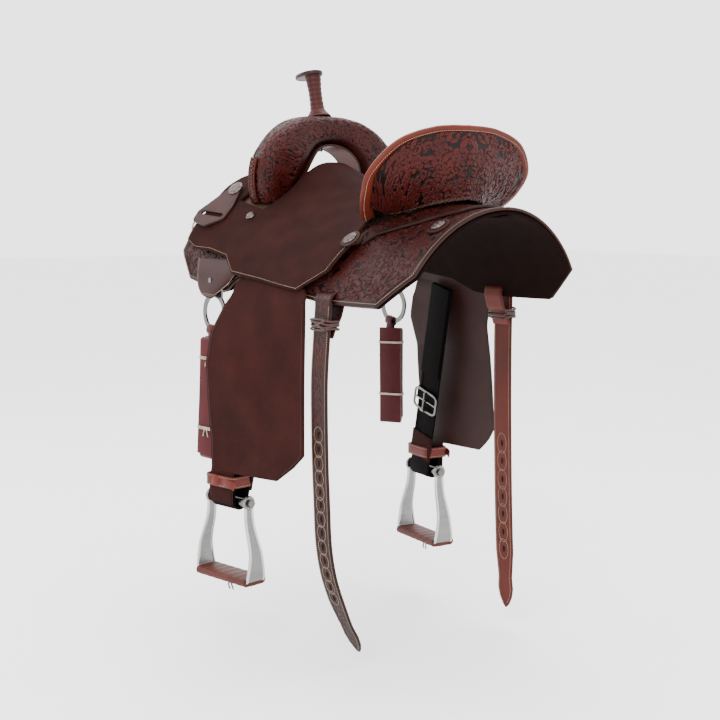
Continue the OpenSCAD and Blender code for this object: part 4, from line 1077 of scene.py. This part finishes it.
def rosette(R, n):
    rho, th = np.linspace(0.02, 1, 16), np.linspace(0, 2 * np.pi, 160, endpoint=False)
    Rr, Th = np.meshgrid(rho, th, indexing="ij")
    rim = R * (0.96 + 0.04 * np.cos(Th * n))
    z = 2.9 - 0.9 * smooth(Rr, 0.9, 1.0) + 0.3 * np.cos(Th * n) * smooth(Rr, 0.5, 0.9)
    g = Geo().add(np.stack([rim * Rr * np.cos(Th), rim * Rr * np.sin(Th), z], -1).reshape(-1, 3),
                  quads(16, 160, closed=True), 0, 0.35 + 0.3 * np.cos(Th * n))
    g.join(turned([[R * 0.2, 0], [R * 0.95, 0], [R * 0.95, 2.2]], 160))
    return g


PLACES = [(CONCHO, 47, 13.6, 0, 15, 9), (on_side(41, -136, 18), 41, 1, 0, 9, 10),
          (on_side(40, 158, 18.5), 40, 0.5, 19, 12.5, 0), (on_side(28, 318, 1), 31, 0.3, 20, 12, -1)]
cg, rg = Geo(), Geo()
for q, a, lift, rl, rm, pt in PLACES:
    at = place(rot_y(a) @ rot_x(-pt), np.asarray(q) + rot_y(a) @ rot_x(-pt) @ np.array([0, 0, lift]))
    if rl:
        rg.join(rosette(rl, 24).moved(at))
    cg.join(concho(rm, 10, rm != 9).moved(lambda v, d=3.2 if rl else 0: v + [0, 0, d]).moved(at))
piece("conchos", both(cg), [CONCHO_M], "saddle", ("conchos",))
piece("rosettes", both(rg), [DARK], "saddle", ("rosettes",))

# ---- Fenders and stirrup leathers --------------------------------------------------------

FEND = np.array([
    [-118, 200, 28, 200, -66], [-130, 205, 62, 205, -86], [-140, 209, 90, 209, -97],
    [-152, 214, 107, 216, -104], [-180, 217, 111, 226, -124], [-225, 219, 113, 244, -138],
    [-281, 223, 118, 260, -134], [-340, 226, 122, 260, -129], [-400, 229, 125, 259, -121],
    [-416, 230, 126, 258.5, -118], [-440, 233, 100, 258.5, -117], [-468, 238, 60, 258.5, -117],
    [-473, 251, -58, 258.5, -118], [-500, 251.5, -60, 259, -123], [-532, 251.5, -61, 259, -127]], float)
zz = np.concatenate([np.linspace(-118, -154, 22), np.linspace(-158, -466, 80), np.linspace(-468, -473, 6),
                     np.linspace(-476, -532, 16)])
row = np.stack([np.interp(-zz, -FEND[:, 0], FEND[:, k]) for k in range(5)], 1)
f = np.linspace(0, 1, 60)
X = row[:, 1:2] + (row[:, 3:4] - row[:, 1:2]) * f
Y = row[:, 2:3] + (row[:, 4:5] - row[:, 2:3]) * f
Z = np.broadcast_to(zz[:, None], X.shape)
hug = on_side(np.degrees(np.arccos(np.clip(1 + (Z - ridge(Y)) / ARCH_H, -1, 1))), Y, 10.4)
k = smooth(Z, -162, -146)[..., None]
P = hug * k + np.stack([X + 0.8 * np.sin(Z / 40) * np.sin(Y / 30), Y, Z], -1) * (1 - k)
fen = sheet(P, 3.6, 1.3, (0, 1, 1, 1), centre=(0, 0, -300), relief=plain(0.5, 40, 4, 0.55), low_mat=2)
for side, lo, hi in (("c0", 0.2, 0.8), ("c1", 0.2, 0.98)):
    fen.join(seam(P, 6, side, lo, hi, centre=(0, 0, -300), r=0.5), 3)
pair("fender", fen, [FENDER, EDGE, FENDER_IN, LACE], "fender_{}", "fender_{}",
     far=lambda v: v + np.stack([0 * v[:, 0], -16 * smooth(-v[:, 2], 160, 230) *
                                 (1 - smooth(-v[:, 2], 400, 468)), 0 * v[:, 0]], 1))

BOLT = np.array([233.6, -94, -527])
RB = rot_z(8)
L_TOP = np.array([202.6, -12.5, -155])
L_FOOT = BOLT - [13.6, 2, 0]
RUN = L_FOOT - L_TOP
RUN_L = np.linalg.norm(RUN)
RL = rot_y(math.degrees(math.atan(RUN[0] / RUN[2]))) @ rot_x(
    math.degrees(math.atan(RUN[1] / -RUN[2]))) @ rot_z(8)


def on_leather(drop):
    return place(RL, L_TOP + RUN * drop / RUN_L)


a = rad(np.linspace(180, 360, 26))
arc = np.stack([13.7 * np.cos(a), 0 * a - 2, 13.7 * np.sin(a)], 1) @ RB.T + BOLT
tail = np.array([[13.7, -2, 12], [13.7, -2, 30], [13.4, -2, 44.5]]) @ RB.T + BOLT
run = L_TOP + RUN * np.linspace(0, 0.985, 40)[:, None]
path = np.concatenate([run, arc[1:], tail])
T = unit(np.gradient(path, axis=0))
axis = RB @ np.array([0, 1.0, 0])
sl = sweep(path, slab(62, 4.4, 1.2), np.cross(T, axis))
sl.join(sweep(L_TOP + RUN * np.linspace(0, 180 / RUN_L, 10)[:, None] + RL @ [-4.6, 0, 0],
              slab(60, 4.2, 1.2), np.cross(unit(RUN), axis)), 0)
HOLE_TOP, HOLE_PITCH, HOLES = 206, 24, 5
# Each punched hole is a dark disc on the leather: painted shade inside the hole
for d in HOLE_TOP + HOLE_PITCH * np.arange(HOLES):
    hole = turned([[0.2, 0], [2.6, 0], [2.6, 0.3]], 16)
    hole = hole.moved(place(rot_y(-90), (0, 0, 0))).moved(lambda v: v + [-2.35, 0, 0]).moved(on_leather(d))
    sl.join(hole, 2)
sleeve = sweep(L_TOP + RUN * np.linspace(214 / RUN_L, 236 / RUN_L, 6)[:, None] + RL @ [-3.4, 0, 0],
               slab(67, 5.4, 1.2), np.cross(unit(RUN), axis))
sl.join(sleeve, 0)
nyl = sweep(L_TOP + RUN * np.linspace(0.02, 0.94, 60)[:, None] + RL @ [-2.4, -27, 0],
            slab(7, 1.4, 0.5), np.cross(unit(RUN), axis), tone=0.9)
sl.join(nyl, 0)
roughw = sweep(L_TOP + RUN * np.linspace(0.80, 0.93, 8)[:, None] + RL @ [-3.2, 0, 0],
               slab(66, 4.8, 1.2), np.cross(unit(RUN), axis))
sl.join(roughw, 3)
pair("stirrup_leather", sl, [BLACK, BLACK, HOLE_SHADE, FENDER], "fender_{}", "stirrup_leather_{}")

BUCKLE_DROP = 236
TONGUE_DROP = BUCKLE_DROP + 19
bx, by, a = oval(19.6, 37.6, 0.35, 72)
bk = sweep(np.stack([0 * a, by, bx], 1), slab(4.6, 3.4, 1.2), (1, 0, 0), closed=True)
bk.join(sweep(np.array([[0, -36.0, 0], [0, 36, 0]]), circle(1.8, 10), (1, 0, 0)))
bk = bk.moved(lambda v: v + [-7.4, 0, 0]).moved(on_leather(BUCKLE_DROP))
pair("leather_buckle", bk, [STEEL], "fender_{}", "leather_buckle_{}")
tg = np.array([[0, 0, 0], [0.2, 0, 12], [0.4, 0, 26], [0.2, 0, 37]], float)
tg = sweep(tg, circle(1.9, 10), (1, 0, 0))
tg.join(sweep(np.array([[0, -5.5, 0], [0, 5.5, 0]], float), circle(2.4, 12), (1, 0, 0)))
tg = tg.moved(lambda v: v + [-2.25 - 9.6, 0, 0]).moved(on_leather(TONGUE_DROP))
pair("buckle_tongue", tg, [STEEL], "tongue_{}", "buckle_tongue_{}")

hx, hy, a = oval(24.0, 37.5, 0.3, 90)
hx, hy = hx + 2.8, hy + 1
hb = sweep(np.stack([hx, hy, 37 + 0 * a], 1), slab(3.0, 21, 1.1), (0, 0, 1), closed=True)
for dz in (-7.6, 7.6):
    hb.join(stitches(np.stack([hx * 1.065 - 0.1, hy * 1.04, 37 + dz + 0 * a], 1),
                     np.stack([np.cos(a), np.sin(a), 0 * a], 1), 3.8, 2.7, 0.45, 0.2), 1)
tailp = np.array([[27.6, 14, 37], [29.6, 26, 36.5], [29.4, 37, 35], [27.5, 45, 32]], float)
hb.join(sweep(curve(tailp, np.linspace(0, 3, 20)), slab(2.4, 15, 1), (0, 0, 1)), 0)
med = concho(10.5, 8, 1).moved(place(rot_y(90), (28, -6, 37)))
hb.join(med, 2)
pair("hobble_strap", hb.moved(place(RB, BOLT)), [HOBBLE, THREAD, HOBBLE], "fender_{}", "hobble_strap_{}")

# ---- Stirrups ---------------------------------------------------------------------------

POST = np.array([[51, 0], [51, -22], [54, -42], [62, -66], [69, -90], [70, -114], [69, -132]], float)
half_post = curve(POST, np.linspace(0, 6, 60))
corner = np.array([[67.6, -137.4], [64, -140.2], [58, -140.9]])
down = np.concatenate([half_post, corner])
line = np.concatenate([down, [[30, -141], [0, -141], [-30, -141]], (down * [-1, 1])[::-1]])
f = np.clip(-line[:, 1] / 132, 0, 1)
dep = 10 + (21.5 - 10) * f ** 2
path = np.stack([0 * f, line[:, 0], line[:, 1]], 1)
T = unit(np.gradient(path, axis=0))
xs = np.concatenate([np.linspace(-1, 1, 8), np.linspace(1, -1, 8)])
ys = np.concatenate([np.full(8, 1.6), np.full(8, -1.6)])
Nn = np.cross(T, [1.0, 0, 0])
P = path[:, None] + np.array([1.0, 0, 0]) * ((dep - 2)[:, None] * xs)[..., None]
P = P + Nn[:, None] * ys[None, :, None]
stp = Geo().add(P.reshape(-1, 3), quads(len(path), 16, closed=True), 0, 0.6)
stp.f += [list(range(16))[::-1], [(len(path) - 1) * 16 + j for j in range(16)]]
stp.m += [0, 0]
for s in (-1, 1):
    stp.join(sweep(path + np.array([1.0, 0, 0]) * (s * (dep - 2.6))[:, None], circle(2.9, 12), (1, 0, 0)), 1)
for s in (-1, 1):
    eye = turned([[5.4, -2.8], [11.8, -2.8], [13, -1.6], [13, 1.6], [11.8, 2.8], [5.4, 2.8]], 48)
    stp.join(eye.moved(place(rot_x(90), (0, 51 * s, 0))), 0)
pair("stirrup", stp.moved(place(RB, BOLT)), [ALU, BRIGHT], "stirrup_{}", "stirrup_{}")
bo = turned([[5, -56], [5, 56]], 32).join(turned([[8.2, -44], [8.5, -43], [8.5, 43], [8.2, 44]], 40))
for s in (-1, 1):
    bo.join(turned([[6.6, s * 57.6 - 2.5], [7.8, s * 57.6 - 2.2], [7.8, s * 57.6 + 1.8],
                    [6.4, s * 57.6 + 2.5]], 6))
pair("stirrup_bolt", bo.moved(place(rot_x(90), (0, 0, 0))).moved(place(RB, BOLT)), [STEEL], "stirrup_{}",
     "stirrup_bolt_{}", sharp=30)
tw = sweep(np.stack([np.zeros(60), np.linspace(-66, 66, 60), 0.3 * np.sin(np.arange(60) * 0.7)], 1),
           slab(52, 14.6, 6.5), (0, 0, 1), tone=0.7)
lz = np.stack([np.zeros(60), np.linspace(-62, 62, 60), np.full(60, -7.4)], 1)
tw.join(braid(lz, (0, 0, -1), 12, 9, 1.2), 1)
tw.join(turned([[0.5, -4.4], [3, -3.6], [4.4, 0], [3, 3.6], [0.5, 4.4]], 16).moved(
    lambda v: v + [0, 0, -10.5]), 1)
for s in (-1, 1):
    kn = np.array([[0, 1 * s, -13], [1, 4 * s, -18], [0, 5 * s + 1, -24], [-1, 4 * s + 2, -28]], float)
    tw.join(sweep(curve(kn, np.linspace(0, 3, 14)), slab(3.2, 1.4, 0.5), (1, 0, 0)), 1)
pair("tread_wrap", tw.moved(lambda v: v + [0, 0, -140]).moved(place(RB, BOLT)), [TREAD, LACE], "stirrup_{}",
     "tread_wrap_{}")

# ---- Rear billets -----------------------------------------------------------------------

FOLD = np.array([192.5, 150, -155.5])
NEAR = [[13.6, 0], [14, -12], [17, -54], [21.5, -124], [21.5, -194], [19.5, -274], [16.5, -334],
        [12.5, -405], [3, -459], [-12, -504], [-31, -546], [-50, -582], [-66, -612]]
FAR = [[13.6, 0], [13.8, -12], [14, -104], [16, -204], [19.5, -304], [24, -404], [30, -504], [36, -600]]


def billet(line, name, body, node, m, relief, flip, ovals, holes, pitch0, step):
    a = rad(np.linspace(178, 2, 26))
    head = np.array([[10.5, -60], [5, -46], [-7, -26], [-13.2, -6]])
    arc = np.stack([13.6 * np.cos(a), 13.6 * np.sin(a)], 1)
    low = curve(line, np.linspace(0, len(line) - 1, 300))
    xz = np.concatenate([head, arc, low[1:]])
    p3 = resample(np.stack([xz[:, 0], 0 * xz[:, 0], xz[:, 1]], 1), 2.2)
    T = unit(np.gradient(p3, axis=0))
    Nn = np.cross(T, [0, 1.0, 0])
    Nn = -Nn if Nn[len(Nn) // 2, 0] < 0 else Nn
    s = np.concatenate([[0], np.cumsum(np.linalg.norm(np.diff(p3, axis=0), axis=1))])
    left = s[-1] - s
    w = np.interp(left, [0, 6, 20, 38, 60, 110, 200], [1.2, 7, 15, 19, 17, 22, 22])
    cols = np.linspace(-1, 1, 26)
    P = (FOLD + p3 + Nn * 2.2)[:, None] + np.array([0, 1.0, 0]) * (w[:, None] * cols)[..., None]
    g = sheet(P, 4.4, 1.3, (1, 1, 1, 1), centre=FOLD + [-60, 0, -300], relief=relief, low_mat=0)
    c = (0, 150, -450)
    for side in ("c0", "c1"):
        g.join(seam(P, 4, side, 0.16, 0.985, centre=c, r=0.45, rise=0.3), 2)
        g.join(seam(P - Nn[:, None] * 4.4, 4, side, 0.16, 0.985, centre=c, r=0.45, rise=-0.3), 2)
    for k in range(ovals):
        q = pitch0 + k * step
        i0 = int(np.argmin(np.abs(s - q)))
        th = np.linspace(0, 2 * np.pi, 48)
        ring = (FOLD + p3[i0] + Nn[i0] * 2.3 + T[i0] * (step * 0.56 * np.cos(th))[:, None]
                + np.array([0, 1.0, 0]) * (11.5 * np.sin(th))[:, None])
        drift = np.stack([np.interp(s[i0] + step * 0.56 * np.cos(th), s, (p3 + Nn * 2.3)[:, k2])
                          for k2 in range(3)], 1) + FOLD
        ring = drift + np.array([0, 1.0, 0]) * (11.5 * np.sin(th))[:, None]
        g.join(stitches(ring, Nn[i0], 3.2, 2.5, 0.5, 0.25), 2)
        g.join(stitches(ring - Nn[i0] * 4.7, -Nn[i0], 3.2, 2.5, 0.5, 0.2), 2)
        # Holes are dark discs on both faces of the billet: painted shade inside them
        if holes:
            hl = turned([[0.2, 0], [2.5, 0], [2.5, 0.4]], 20)
            M = np.stack([np.array([0, 1.0, 0]), T[i0], Nn[i0]], 1)
            for lift in (2.25, -2.75):
                at = place(M, FOLD + p3[i0] + Nn[i0] * lift)
                g.join(hl.moved(lambda v: v * [1, 2.4, 1]).moved(at), 3)
    if flip:
        g = g.mirrored()
    piece(name, g, [m, EDGE, THREAD, HOLE_SHADE], body, (node,))


billet(NEAR, "rear_billet_left", "billet_left", "rear_billet_left", NEARBIL,
       tooled(63, 6, 0.9, pitch=26, size=9), False, 13, True, 330, 24)
billet(FAR, "rear_billet_right", "billet_right", "rear_billet_right", BILLET, plain(0.3, 40, 3, 0.7), True,
       7, True, 390, 34)
lx, ly, a = oval(15.2, 23.8, 0.4, 60)
bl = Geo()
for dz in (-7.5, -2.5, 2.5, 7.5):
    bl.join(sweep(np.stack([lx, ly, dz + 1.6 * np.sin(a * 2 + dz)], 1), slab(2.0, 3.6, 0.8), (0, 0, 1),
                  closed=True))
for s in (-1, 1):
    bl.join(sweep(np.array([[15.6, -20 * s, -8], [16.2, 0, 0], [15.6, 20 * s, 8]], float),
                  slab(3.6, 1.6, 0.6), (1, 0, 0)))
pair("billet_lace", bl.moved(lambda v: v + FOLD + [10, 0, -38]), [LACE], "billet_{}", "billet_lace_{}")

# ---- Carried-over CAD parts, floor and lights --------------------------------------------

# The tree is nearly hidden; its wood is coloured dark as painted shade, so that the narrow gaps between the
# leathers read as shadow
for name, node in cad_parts.items():
    if node.hide_render:
        continue
    m = TREE_WOOD_SHADE if name.startswith(("tree_", "ground_seat")) else LINING if name == "rear_patch" else STEEL
    node.data.materials.clear()
    node.data.materials.append(m)
    tone = node.data.attributes.new("tone", "FLOAT", "POINT")
    tone.data.foreach_set("value", np.full(len(node.data.vertices), 0.6, np.float32))

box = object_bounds()
lowest = min(v[2] for v in box)
FLOOR_GAP = 0.03
fm = finish_mat("floor", (0.90, 0.90, 0.90), (0.94, 0.94, 0.94), 0.9, 0.01, 3, 40, 0.02)
bpy.ops.mesh.primitive_plane_add(size=30, location=(0, 0, lowest - FLOOR_GAP))
floor = bpy.context.object
floor.name = "floor"
floor.data.materials.append(fm)

world = bpy.data.worlds.new("studio")
bpy.context.scene.world = world
world.use_nodes = True
world.node_tree.nodes["Background"].inputs[0].default_value = (1, 1, 1, 1)
world.node_tree.nodes["Background"].inputs[1].default_value = 3.0


def area(name, where, power, size):
    data = bpy.data.lights.new(name, "AREA")
    data.energy = power
    data.size = size
    ob = bpy.data.objects.new(name, data)
    bpy.context.scene.collection.objects.link(ob)
    ob.location = where
    d = Vector((0, 0, -0.15)) - Vector(where)
    ob.rotation_euler = d.to_track_quat("-Z", "Y").to_euler()
    return ob


# Soft lights: place in metres, power in watts, side in metres
area("key", (2.2, 1.6, 1.8), 70, 1.4)
area("fill", (0.4, 3.0, 0.6), 20, 1.8)
area("top", (-0.6, -0.4, 2.6), 60, 2.2)
area("rim", (1.5, -2.4, 1.0), 18, 1.2)
